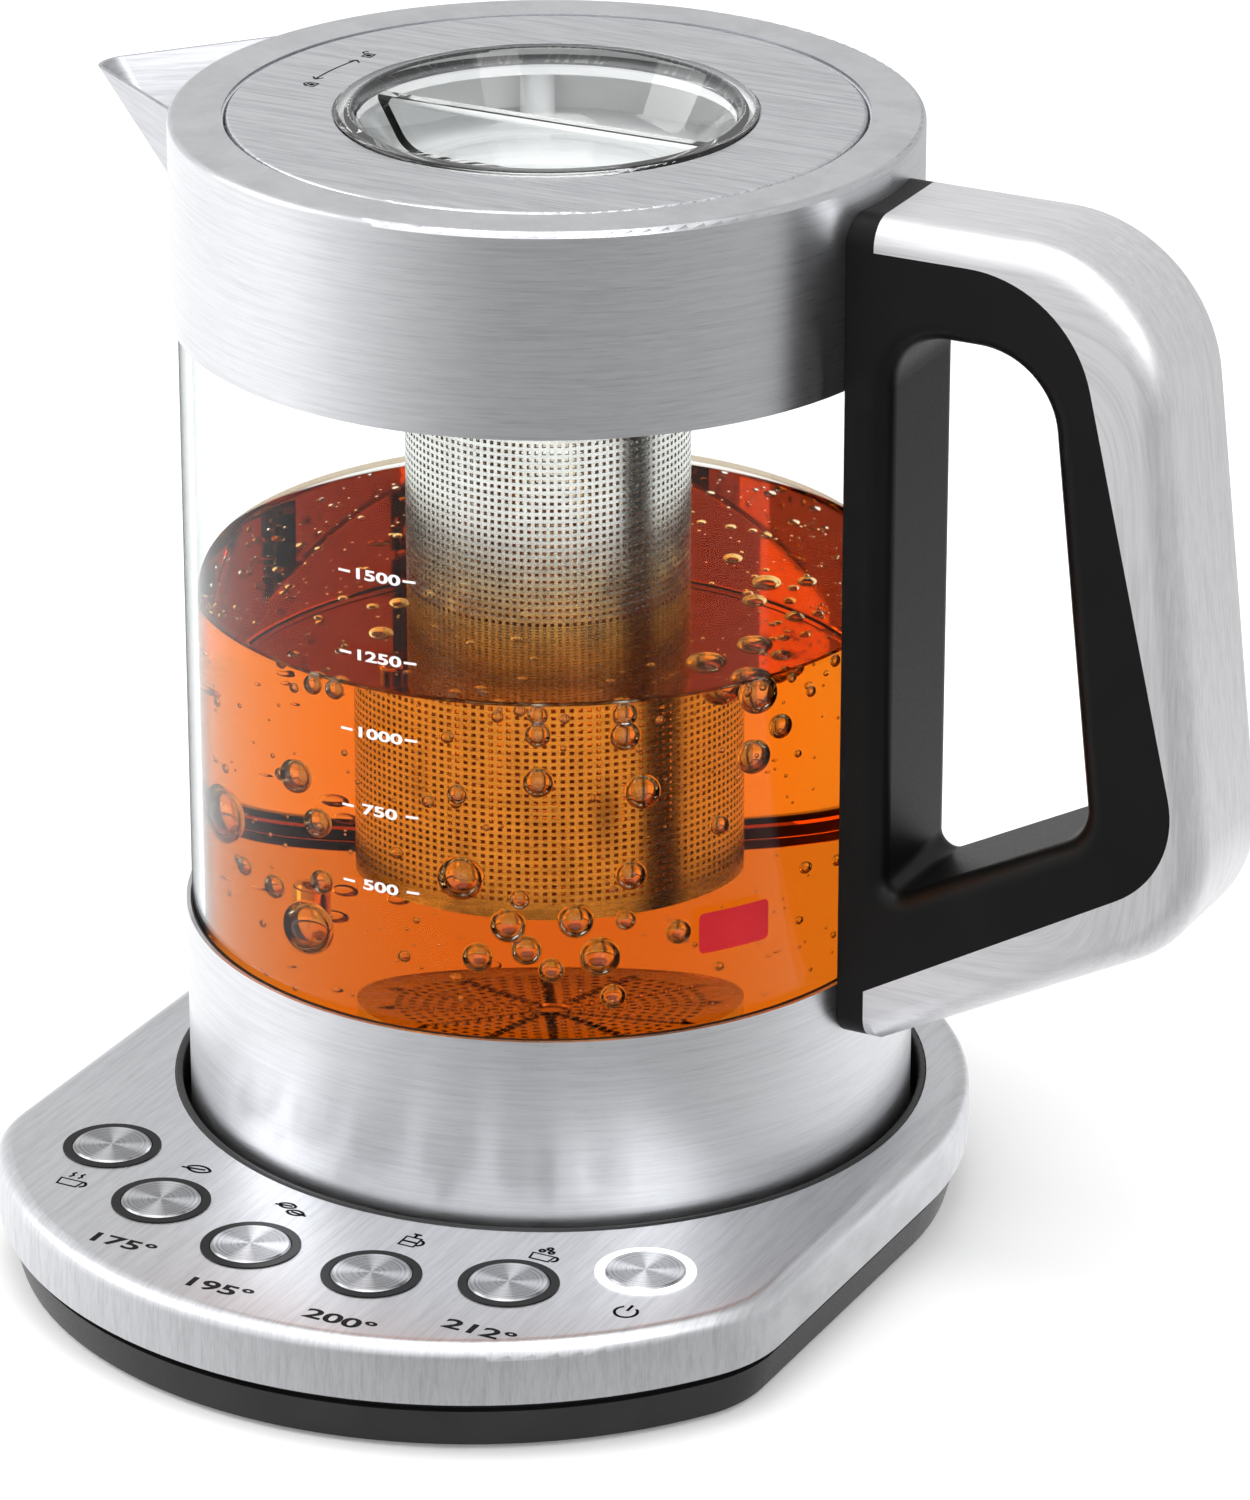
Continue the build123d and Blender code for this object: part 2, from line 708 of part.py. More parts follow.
with BuildPart() as jug_bottom_cover:
    ring(collar_foot_in_r - slip, cover_hole_r, jug_under, jug_under + bottom_cover_t)
    ring(cover_hole_r + cover_hub_wall, cover_hole_r, jug_under + bottom_cover_t, socket_roof - slip)
    with PolarLocations(stud_ring_r, stud_count):
        with Locations(Plane((0, 0, jug_under), z_dir=(0, 0, -1))):
            CounterBoreHole(
                radius=screw_r + slip,
                counter_bore_radius=screw_head_r + slip,
                counter_bore_depth=screw_head_h,
                depth=2 * bottom_cover_t,
            )
jug_bottom_cover.part.label = "jug_bottom_cover"
export_step(jug_bottom_cover.part, "parts/jug_bottom_cover.step")

with BuildPart() as plate_studs:
    with BuildSketch(Plane.XY.offset(jug_under + bottom_cover_t)):
        with PolarLocations(stud_ring_r, stud_count):
            Circle(stud_r)
    extrude(amount=plate_under - jug_under - bottom_cover_t)
    with BuildSketch(Plane.XY.offset(jug_under + bottom_cover_t)):
        with PolarLocations(stud_ring_r, stud_count):
            Circle(screw_r + fit_gap)
    extrude(amount=screw_bite + slip, mode=Mode.SUBTRACT)
plate_studs.part.label = "plate_studs"
export_step(plate_studs.part, "parts/plate_studs.step")

with BuildPart() as bottom_screws:
    with BuildSketch(Plane.XY.offset(jug_under)):
        with PolarLocations(stud_ring_r, stud_count):
            Circle(screw_head_r)
    extrude(amount=screw_head_h)
    with BuildSketch(Plane.XY.offset(jug_under)):
        with PolarLocations(stud_ring_r, stud_count):
            Circle(screw_r)
    extrude(amount=bottom_cover_t + screw_bite)
bottom_screws.part.label = "bottom_screws"
export_step(bottom_screws.part, "parts/bottom_screws.step")

with BuildPart() as heater_plate:
    ring(collar_in_r - fit_gap, 0, plate_under, water_floor)
    with Locations((probe_x, 0, water_floor)):
        Hole(radius=probe_r + fit_gap)
heater_plate.part.label = "heater_plate"
export_step(heater_plate.part, "parts/heater_plate.step")

with BuildPart() as heat_spreader:
    ring(spreader_r, 0, spreader_under, plate_under)
    with Locations((probe_x, 0, plate_under)):
        Hole(radius=probe_r + fit_gap)
heat_spreader.part.label = "heat_spreader"
export_step(heat_spreader.part, "parts/heat_spreader.step")

with BuildPart() as heating_element:
    with BuildSketch(upright(180 + element_gap / 2)):
        with Locations((element_r, spreader_under - element_tube_r)):
            Circle(element_tube_r)
    revolve(axis=Axis.Z, revolution_arc=360 - element_gap)
heating_element.part.label = "heating_element"
export_step(heating_element.part, "parts/heating_element.step")

with BuildPart() as control_housing:
    ring(control_r, 0, control_low, control_top)
control_housing.part.label = "control_housing"
export_step(control_housing.part, "parts/control_housing.step")

with BuildPart() as thermal_cutouts:
    with Locations((cutout_x, 0, control_top), (-cutout_x, 0, control_top)):
        Cylinder(cutout_r, spreader_under - control_top, align=from_below)
thermal_cutouts.part.label = "thermal_cutouts"
export_step(thermal_cutouts.part, "parts/thermal_cutouts.step")

with BuildPart() as temperature_probe:
    with Locations((probe_x, 0, spreader_under - probe_root)):
        Cylinder(probe_r, water_floor + probe_reach - spreader_under + probe_root, align=from_below)
    fillet(temperature_probe.edges().group_by(Axis.Z)[-1], radius=probe_edge_r)
temperature_probe.part.label = "temperature_probe"
export_step(temperature_probe.part, "parts/temperature_probe.step")

# ================================================================ wall of the jug
with BuildPart() as lower_seal:
    ring(seal_out_r, glass_in_r - seal_lip_t, water_floor, glass_low)
    ring(glass_in_r, glass_in_r - seal_lip_t, glass_low, glass_low + seal_lip)
    ring(seal_out_r, glass_r, glass_low, lower_collar_top)
lower_seal.part.label = "lower_seal"
export_step(lower_seal.part, "parts/lower_seal.step")

with BuildPart() as glass_body:
    ring(glass_r, glass_in_r, glass_low, glass_top)
    fillet(glass_body.edges().group_by(Axis.Z)[-1], radius=glass_edge_r)
glass_body.part.label = "glass_body"
export_step(glass_body.part, "parts/glass_body.step")

with BuildPart() as upper_seal:
    ring(seal_out_r, glass_in_r - seal_lip_t, glass_top, neck_low)
    ring(glass_in_r, glass_in_r - seal_lip_t, glass_top - seal_lip, glass_top)
    ring(seal_out_r, glass_r, upper_collar_low + sheet_t, glass_top)
upper_seal.part.label = "upper_seal"
export_step(upper_seal.part, "parts/upper_seal.step")

with BuildPart() as pour_window:
    with BuildSketch(Plane.YZ.offset(-jug_r - sheet_t)):
        with BuildLine():
            Polyline(
                (-window_low_half, window_low),
                (window_low_half, window_low),
                (window_high_half, window_high),
                (-window_high_half, window_high),
                close=True,
            )
        make_face()
    extrude(amount=2 * (jug_r - bore_r))

with BuildPart() as inner_neck:
    ring(neck_r, neck_r - neck_wall, neck_low, flange_low)
    ring(collar_in_r - slip, neck_r - neck_wall, neck_low, neck_low + neck_flange_t)
    ring(collar_in_r - slip, mouth_r, flange_low - neck_flange_t, flange_low)
    ring(bore_r + bore_wall, bore_r, bore_low, flange_low)
    ring(neck_r, bore_r, bore_low, bore_low + neck_flange_t)
    ring(lid_r + lid_seat_gap, 0, lid_seat_z, flange_low, mode=Mode.SUBTRACT)
    for lug in range(lug_count):
        lug_angle = lug_first + 360 / lug_count * lug
        ring_piece(
            bore_r + fit_gap,
            core_r + slip,
            lug_low + lug_h + ledge_gap,
            lug_low + lug_h + ledge_gap + ledge_h,
            lug_angle + ledge_start,
            lug_angle + ledge_end,
        )
    add(pour_window.part, mode=Mode.SUBTRACT)
inner_neck.part.label = "inner_neck"
export_step(inner_neck.part, "parts/inner_neck.step")

with BuildPart() as upper_collar:
    ring(jug_r, 0, upper_collar_low, jug_top)
    fillet(upper_collar.edges().group_by(Axis.Z)[-1], radius=collar_edge_r)
    ring(collar_in_r, 0, upper_collar_low, flange_low, mode=Mode.SUBTRACT)
    ring(mouth_r, 0, flange_low, jug_top, mode=Mode.SUBTRACT)
    add(pour_window.part, mode=Mode.SUBTRACT)
    for z in handle_screw_z[1:]:
        with Locations(Plane((collar_in_r, 0, z), z_dir=(1, 0, 0))):
            Cylinder(screw_r + slip, 4 * sheet_t, mode=Mode.SUBTRACT)
upper_collar.part.label = "upper_collar"
export_step(upper_collar.part, "parts/upper_collar.step")


def beak_section(height, apex_x, tip_r, inset):
    """One level of the spout, a rounded wedge that starts inside the jug, drawn in by an inset."""
    root_x = -jug_r / 2
    point_x = apex_x + inset / sin(radians(spout_spread))
    half = (root_x - point_x) * sin(radians(spout_spread)) / cos(radians(spout_spread))
    with BuildSketch(Plane.XY.offset(height)) as section:
        with BuildLine():
            Polyline((root_x, -half), (root_x, half), (point_x, 0), close=True)
        make_face()
        fillet(section.vertices().sort_by(Axis.X)[0], radius=tip_r - inset)
    return section.sketch


with BuildPart() as beak_inside:
    loft(
        [
            beak_section(spout_low + sheet_t, spout_low_x, spout_low_r, sheet_t),
            beak_section(spout_high, spout_high_x, spout_high_r, sheet_t),
        ],
        ruled=True,
    )

with BuildPart() as spout:
    loft(
        [
            beak_section(spout_low, spout_low_x, spout_low_r, 0),
            beak_section(spout_high, spout_high_x, spout_high_r, 0),
        ],
        ruled=True,
    )
    add(beak_inside.part, mode=Mode.SUBTRACT)
    ring(jug_r, 0, 0, 2 * jug_top, mode=Mode.SUBTRACT)
    lip_up = (-sin(radians(lip_slope)), 0, cos(radians(lip_slope)))
    split(bisect_by=Plane((lip_tip[0], 0, lip_tip[1]), z_dir=lip_up), keep=Keep.BOTTOM)
spout.part.label = "spout"
export_step(spout.part, "parts/spout.step")

# ================================================================ handle
handle_points = [
    (handle_root_x, handle_top),
    (handle_bow_x, handle_top),
    (handle_low_x, handle_low_z),
    (jug_r + handle_heel_reach, handle_heel_z),
    (handle_root_x, handle_heel_z),
]
grip_points = [
    (grip_root_x, grip_top),
    (grip_bow_x, grip_top),
    (grip_low_x, grip_low_z),
    (back_plate_x, grip_heel_z),
    (grip_root_x, grip_heel_z),
]
finger_points = [
    (grip_bow_x - finger_bow_inset, finger_top),
    (grip_low_x - finger_low_inset, grip_low_z + finger_low_lift),
    (finger_x, lower_collar_top + finger_heel_rise),
    (finger_x, finger_top),
]


def handle_blank(inset):
    """The whole handle, drawn in all round by an inset, with its long edges rounded."""
    with BuildPart() as blank:
        side = side_outline(handle_points, (0, handle_top_r, handle_low_r, 0, 0), inset)
        extrude(side, amount=handle_half - inset, both=True)
        long_edges = blank.faces().filter_by(Axis.Y).edges()
        free_edges = long_edges.filter_by(lambda e: e.center().X > handle_root_x + 2 * handle_cover_t)
        fillet(free_edges, radius=handle_edge_r - inset)
    return blank.part


with BuildPart() as grip_zone:
    extrude(side_outline(grip_points, (0, grip_top_r, grip_low_r, 0, 0)), amount=2 * handle_half, both=True)
    with Locations((back_plate_x, 0, 0)):
        Box(
            back_plate_x - grip_root_x,
            4 * handle_half,
            jug_top,
            align=(Align.MAX, Align.CENTER, Align.MIN),
        )

with BuildPart() as finger_hole:
    extrude(side_outline(finger_points, finger_radii), amount=2 * handle_half, both=True)

with BuildPart() as handle_cover:
    add(handle_blank(0))
    add(handle_blank(handle_cover_t), mode=Mode.SUBTRACT)
    add(grip_zone.part, mode=Mode.SUBTRACT)
handle_cover.part.label = "handle_cover"
export_step(handle_cover.part, "parts/handle_cover.step")

with BuildPart() as handle_grip:
    add(handle_blank(0))
    add(grip_zone.part, mode=Mode.INTERSECT)
    add(handle_blank(handle_cover_t + fit_gap))
    add(finger_hole.part, mode=Mode.SUBTRACT)
    side_faces = handle_grip.faces().filter_by(Axis.Y)
    finger_edges = [edge for face in side_faces for wire in face.inner_wires() for edge in wire.edges()]
    fillet(finger_edges, radius=finger_edge_r)
    ring(jug_r + fit_gap, 0, 0, 2 * jug_top, mode=Mode.SUBTRACT)
    with Locations((strap_x - fit_gap, 0, strap_low - fit_gap)):
        Box(
            strap_t + 2 * fit_gap,
            2 * strap_half + 2 * fit_gap,
            strap_high - strap_low + 2 * fit_gap,
            align=(Align.MIN, Align.CENTER, Align.MIN),
            mode=Mode.SUBTRACT,
        )
    for z in handle_screw_z:
        with Locations(Plane((collar_in_r, 0, z), z_dir=(1, 0, 0))):
            Cylinder(screw_r + fit_gap, handle_screw_reach + fit_gap, align=from_below, mode=Mode.SUBTRACT)
handle_grip.part.label = "handle_grip"
export_step(handle_grip.part, "parts/handle_grip.step")

with BuildPart() as handle_strap:
    with Locations((strap_x, 0, strap_low)):
        Box(strap_t, 2 * strap_half, strap_high - strap_low, align=(Align.MIN, Align.CENTER, Align.MIN))
    for z in handle_screw_z:
        with Locations(Plane((strap_x, 0, z), z_dir=(1, 0, 0))):
            Cylinder(screw_r + fit_gap, 4 * strap_t, mode=Mode.SUBTRACT)
handle_strap.part.label = "handle_strap"
export_step(handle_strap.part, "parts/handle_strap.step")

with BuildPart() as handle_screws:
    for z in handle_screw_z:
        with Locations(Plane((collar_in_r - fit_gap, 0, z), z_dir=(1, 0, 0))):
            Cylinder(screw_head_r, screw_head_h, align=from_above)
            Cylinder(screw_r, handle_screw_reach, align=from_below)
handle_screws.part.label = "handle_screws"
export_step(handle_screws.part, "parts/handle_screws.step")

# ================================================================ lid
with BuildPart() as lid_plate:
    ring(lid_r, 0, jug_top - lid_skirt_h, jug_top)
    fillet(lid_plate.edges().group_by(Axis.Z)[-1], radius=lid_edge_r)
    ring(lid_r - sheet_t, 0, jug_top - lid_skirt_h, flange_low, mode=Mode.SUBTRACT)
    ring(lid_hole_r, 0, flange_low, jug_top, mode=Mode.SUBTRACT)
lid_plate.part.label = "lid_plate"
export_step(lid_plate.part, "parts/lid_plate.step")

with BuildPart() as lid_core:
    ring(core_r, core_r - core_wall, core_low + lid_base_t, flange_low)
    ring(lid_r - sheet_t - fit_gap, dial_pocket_r, flange_low - core_deck_t, flange_low)
    ring(dial_pocket_r + core_wall, dial_pocket_r, gasket_seat_low, flange_low)
    ring(dial_pocket_r + core_wall, bowl_r + dial_wall, gasket_seat_low, gasket_low)
    ring(
        core_r - lid_seal_bite,
        core_r - lid_seal_bite - seal_backing,
        lid_seal_low - lid_seal_bite,
        lid_seal_low + lid_seal_h + lid_seal_bite,
    )
    for lug in range(lug_count):
        lug_angle = lug_first + 360 / lug_count * lug
        ring_piece(
            core_r + lug_reach,
            core_r - core_wall / 2,
            lug_low,
            lug_low + lug_h,
            lug_angle - lug_half,
            lug_angle + lug_half,
        )
    ring(
        core_r + lug_reach,
        core_r - lid_seal_bite,
        lid_seal_low - slip / 2,
        lid_seal_low + lid_seal_h + slip / 2,
        mode=Mode.SUBTRACT,
    )
    with BuildSketch(Plane.XY.offset(core_low + lid_base_t)):
        with PolarLocations(lid_screw_ring_r, lid_screw_count):
            Circle(boss_r)
    extrude(amount=flange_low - core_deck_t - core_low - lid_base_t)
    with BuildSketch(Plane.XY.offset(core_low + lid_base_t)):
        with PolarLocations(lid_screw_ring_r, lid_screw_count):
            Circle(screw_r + fit_gap)
    extrude(amount=screw_bite + slip, mode=Mode.SUBTRACT)
lid_core.part.label = "lid_core"
export_step(lid_core.part, "parts/lid_core.step")

with BuildPart() as lid_seal:
    ring(bore_r - slip, core_r - lid_seal_bite + slip / 2, lid_seal_low, lid_seal_low + lid_seal_h)
lid_seal.part.label = "lid_seal"
export_step(lid_seal.part, "parts/lid_seal.step")

with BuildPart() as dial_bar:
    with Locations((0, 0, bowl_floor_z - dial_wall / 2)):
        Box(2 * bowl_r, bar_t, bar_top - bowl_floor_z + dial_wall / 2, align=from_below)
    fillet(dial_bar.edges().group_by(Axis.Z)[-1].filter_by(Axis.X), radius=bar_edge_r)
    with BuildSketch(Plane.XZ) as bowl_space:
        with BuildLine():
            Polyline(
                (0, bowl_floor_z - dial_wall / 2),
                (bowl_floor_r, bowl_floor_z - dial_wall / 2),
                (bowl_r, bar_top),
                (0, bar_top),
                close=True,
            )
        make_face()
    revolve(axis=Axis.Z, mode=Mode.INTERSECT)

with BuildPart() as lid_dial:
    dish_points = [
        (0, bowl_floor_z - dial_wall),
        (bowl_floor_r + dial_wall / 2, bowl_floor_z - dial_wall),
        (bowl_r + dial_wall / 2, dial_low),
        (dial_flange_r, dial_low),
        (dial_flange_r, flange_low - fit_gap),
        (dial_rim_r, flange_low - fit_gap),
        (dial_rim_r, jug_top + dial_proud),
        (bowl_r, jug_top + dial_proud),
        (bowl_floor_r, bowl_floor_z),
        (0, bowl_floor_z),
    ]
    rounded_corners = [
        (dish_points[1], bowl_corner_r + dial_wall),
        (dish_points[6], dial_edge_r),
        (dish_points[7], dial_edge_r),
        (dish_points[8], bowl_corner_r),
    ]
    with BuildSketch(Plane.XZ) as dish:
        with BuildLine():
            Polyline(*dish_points, close=True)
        make_face()
        for (r, z), radius in rounded_corners:
            fillet(dish.vertices().sort_by_distance((r, z, 0))[0], radius=radius)
    revolve(axis=Axis.Z)
    add(dial_bar.part)
lid_dial.part.label = "lid_dial"
export_step(lid_dial.part, "parts/lid_dial.step")

with BuildPart() as dial_gasket:
    ring(dial_flange_r, bowl_r + dial_wall, gasket_low, dial_low)
dial_gasket.part.label = "dial_gasket"
export_step(dial_gasket.part, "parts/dial_gasket.step")

with BuildPart() as lid_base:
    ring(core_r, 0, core_low, core_low + lid_base_t)
    ring(infuser_socket_r + infuser_socket_wall, infuser_socket_r, infuser_socket_low, core_low)
    with BuildSketch(Plane.XY.offset(core_low)):
        with PolarLocations(lid_screw_ring_r, lid_screw_count):
            Circle(screw_r + slip)
    extrude(amount=lid_base_t, mode=Mode.SUBTRACT)
lid_base.part.label = "lid_base"
export_step(lid_base.part, "parts/lid_base.step")

with BuildPart() as lid_screws:
    with BuildSketch(Plane.XY.offset(core_low)):
        with PolarLocations(lid_screw_ring_r, lid_screw_count):
            Circle(screw_head_r)
    extrude(amount=-screw_head_h)
    with BuildSketch(Plane.XY.offset(core_low)):
        with PolarLocations(lid_screw_ring_r, lid_screw_count):
            Circle(screw_r)
    extrude(amount=lid_base_t + screw_bite)
lid_screws.part.label = "lid_screws"
export_step(lid_screws.part, "parts/lid_screws.step")

# ================================================================ infuser
with BuildPart() as infuser_rim:
    ring(rim_r, rim_in_r, rim_low, rim_high)
infuser_rim.part.label = "infuser_rim"
export_step(infuser_rim.part, "parts/infuser_rim.step")

with BuildPart() as infuser_basket:
    ring(basket_r, basket_r - basket_t, basket_low, basket_high)
infuser_basket.part.label = "infuser_basket"
export_step(infuser_basket.part, "parts/infuser_basket.step")

with BuildPart() as infuser_floor:
    ring(basket_r - basket_t - fit_gap, 0, basket_low, basket_low + basket_floor_t)
infuser_floor.part.label = "infuser_floor"
export_step(infuser_floor.part, "parts/infuser_floor.step")
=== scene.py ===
import math
import random

import bmesh
import bpy
from bpy.props import FloatProperty, FloatVectorProperty, IntProperty, PointerProperty
from mathutils import Matrix, Vector


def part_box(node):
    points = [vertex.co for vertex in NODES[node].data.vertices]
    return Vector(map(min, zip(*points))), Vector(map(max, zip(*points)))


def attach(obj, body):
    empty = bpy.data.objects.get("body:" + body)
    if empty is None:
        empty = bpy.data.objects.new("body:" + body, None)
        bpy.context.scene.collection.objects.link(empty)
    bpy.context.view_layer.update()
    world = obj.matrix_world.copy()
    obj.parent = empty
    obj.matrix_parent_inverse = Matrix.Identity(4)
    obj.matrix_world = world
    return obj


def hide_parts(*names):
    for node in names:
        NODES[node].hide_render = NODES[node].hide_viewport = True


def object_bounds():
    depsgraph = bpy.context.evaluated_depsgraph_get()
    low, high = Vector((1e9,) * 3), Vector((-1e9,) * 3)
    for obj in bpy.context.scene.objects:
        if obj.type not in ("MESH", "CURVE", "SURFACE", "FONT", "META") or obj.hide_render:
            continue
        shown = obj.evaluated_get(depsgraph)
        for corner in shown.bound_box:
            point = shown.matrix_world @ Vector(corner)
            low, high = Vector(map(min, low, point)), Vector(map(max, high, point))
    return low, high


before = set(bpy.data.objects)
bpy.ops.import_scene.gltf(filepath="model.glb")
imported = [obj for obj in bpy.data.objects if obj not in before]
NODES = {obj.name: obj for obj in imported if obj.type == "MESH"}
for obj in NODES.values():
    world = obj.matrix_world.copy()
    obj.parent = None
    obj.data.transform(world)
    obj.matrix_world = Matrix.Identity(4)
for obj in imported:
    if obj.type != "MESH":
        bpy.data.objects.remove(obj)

bl_info = {
    "name": "Glass tea maker",
    "version": (1, 0, 0),
    "blender": (4, 5, 0),
    "location": "View3D > Sidebar > Tea maker",
    "description": "Finishes, tea, bubbles, perforated infuser, marks and stage for the glass tea maker",
    "category": "Object",
}

CAD_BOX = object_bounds()
MM = 0.001
TURN = 2 * math.pi

# heights and radii of the glass, heater plate, deck, lid and infuser, read from the frame; the
# thickness of the glass and of the infuser's sheet is the same as in the solids
GLASS_LOW, GLASS_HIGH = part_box("glass_body")
GLASS_OUTER = GLASS_HIGH.x
GLASS_WALL = 2.4 * MM
GLASS_INNER = GLASS_OUTER - GLASS_WALL
PLATE_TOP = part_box("heater_plate")[1].z
DECK_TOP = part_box("top_cover")[1].z
LID_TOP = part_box("lid_plate")[1].z
BASKET_LOW, BASKET_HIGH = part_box("infuser_basket")
BASKET_RADIUS = BASKET_HIGH.x
BASKET_WALL = 0.5 * MM

# how far the prints on steel stand off it, and the font's cap height as a share of its size
PRINT_LIFT = 0.015 * MM
CAP_SHARE = 0.70

# the rounded ring that the handle's steel cover follows: its middle and half size along X and Z
HANDLE_MIDDLE = (77 * MM, 136 * MM)
HANDLE_HALF = (70 * MM, 84 * MM)
HANDLE_SQUARENESS = 6.0

CAMERA_PLACE = (0.61113, -1.15589, 0.64785)
CAMERA_AIM = (0.01331, 0.00704, 0.09285)
CAMERA_LENS = 170.95
LAMP_AIM = (0, 0, 0.1)

# directions in which the room and the floor change tone for metal
ROOM_LEFT = (-0.884, -0.467, 0.0)
ROOM_CEILING = (0.25, -0.45, 0.857)
FLOOR_FRONT = (0.54, -0.84, 0.0)

# how strongly the tea takes light away, for each metre that it passes
TEA_DENSITY = 43.0


def colour(code, alpha=1.0):
    """The linear colour that a socket takes, from an sRGB hex value."""
    channels = [int(code[i : i + 2], 16) / 255 for i in (1, 3, 5)]
    return tuple(c / 12.92 if c <= 0.04045 else ((c + 0.055) / 1.055) ** 2.4 for c in channels) + (alpha,)


def add_node(tree, kind, inputs=None, **settings):
    """Adds a node with its settings; each input is a value or the output that feeds it."""
    node = tree.nodes.new("ShaderNode" + kind)
    for name, value in settings.items():
        setattr(node, name, value)
    for socket, value in (inputs or {}).items():
        if isinstance(value, bpy.types.NodeSocket):
            tree.links.new(value, node.inputs[socket])
        else:
            node.inputs[socket].default_value = value
    return node


def new_material(name, **sockets):
    """A material with one Principled shader; underscores in the socket names stand for spaces."""
    material = bpy.data.materials.new(name)
    material.use_nodes = True
    tree = material.node_tree
    tree.nodes.clear()
    values = {socket.replace("_", " "): value for socket, value in sockets.items()}
    shader = add_node(tree, "BsdfPrincipled", values)
    output = add_node(tree, "OutputMaterial", {"Surface": shader.outputs[0]})
    return material, tree, shader, output


def stroke_noise(tree, strokes, detail=3.0, roughness=0.6, warp=None):
    """Noise whose grain is strokes[0] by strokes[1] by strokes[2] metres large; warp bends its space."""
    place = add_node(tree, "TexCoord").outputs["Object"]
    if warp:
        place = warp(tree, place)
    size = [1 / s for s in strokes]
    scaled = add_node(tree, "VectorMath", {0: place, 1: size}, operation="MULTIPLY").outputs[0]
    inputs = {"Vector": scaled, "Scale": 1.0, "Detail": detail, "Roughness": roughness}
    return add_node(tree, "TexNoise", inputs).outputs[0]


def spread(tree, value, low, high, start=0.3, end=0.7):
    """A texture's value taken from start..end to low..high."""
    inputs = {"Value": value, "From Min": start, "From Max": end, "To Min": low, "To Max": high}
    return add_node(tree, "MapRange", inputs).outputs[0]


def mixed(tree, factor, first, second):
    """Colour between first and second."""
    return add_node(tree, "Mix", {0: factor, 6: first, 7: second}, data_type="RGBA").outputs[2]


def along_handle(tree, place):
    """Space bent round the handle: X is the distance from its middle, Z runs along its steel cover."""
    parts = add_node(tree, "SeparateXYZ", {0: place}).outputs
    powers = []
    for part, middle, half in zip((parts["X"], parts["Z"]), HANDLE_MIDDLE, HANDLE_HALF):
        offset = add_node(tree, "Math", {0: part, 1: middle}, operation="SUBTRACT").outputs[0]
        share = add_node(tree, "Math", {0: offset, 1: half}, operation="DIVIDE").outputs[0]
        size = add_node(tree, "Math", {0: share}, operation="ABSOLUTE").outputs[0]
        powers.append(add_node(tree, "Math", {0: size, 1: HANDLE_SQUARENESS}, operation="POWER").outputs[0])
    total = add_node(tree, "Math", {0: powers[0], 1: powers[1]}, operation="ADD").outputs[0]
    root = add_node(tree, "Math", {0: total, 1: 1 / HANDLE_SQUARENESS}, operation="POWER").outputs[0]
    distance = add_node(tree, "Math", {0: root, 1: HANDLE_HALF[0]}, operation="MULTIPLY").outputs[0]
    run = add_node(tree, "Math", {0: parts["X"], 1: parts["Z"]}, operation="ADD").outputs[0]
    return add_node(tree, "CombineXYZ", {"X": distance, "Y": parts["Y"], "Z": run}).outputs[0]


def brushed_steel(name, strokes, across=(0, 0, 1), base="#dfe0e3", dark="#c3c4c8", roughness=0.3,
                  anisotropy=0.0, depth=0.2, warp=None):
    """Stainless steel 18/8, satin-brushed with a belt: fine strokes that stretch each highlight
    across them. Real strokes are 0.05 to 0.1 mm apart, drawn 0.3 mm apart so that they show."""
    material, tree, shader, _ = new_material(name, Metallic=1.0, Anisotropic=anisotropy)
    fine = stroke_noise(tree, strokes, detail=3.0, roughness=0.65, warp=warp)
    broad = stroke_noise(tree, [3.5 * s for s in strokes], detail=2.0, warp=warp)
    both = add_node(tree, "Math", {0: fine, 1: broad}, operation="ADD").outputs[0]
    base_colour = mixed(tree, spread(tree, both, 0.0, 1.0, 0.75, 1.15), colour(dark), colour(base))
    tree.links.new(base_colour, shader.inputs["Base Color"])
    rough = spread(tree, fine, roughness - 0.03, roughness + 0.04)
    tree.links.new(rough, shader.inputs["Roughness"])
    bump = add_node(tree, "Bump", {"Height": both, "Strength": depth, "Distance": 0.01 * MM})
    tree.links.new(bump.outputs[0], shader.inputs["Normal"])
    if anisotropy:
        tangent = add_node(tree, "VectorTransform", {0: across}, vector_type="VECTOR",
                           convert_from="OBJECT", convert_to="WORLD")
        tree.links.new(tangent.outputs[0], shader.inputs["Tangent"])
    return material


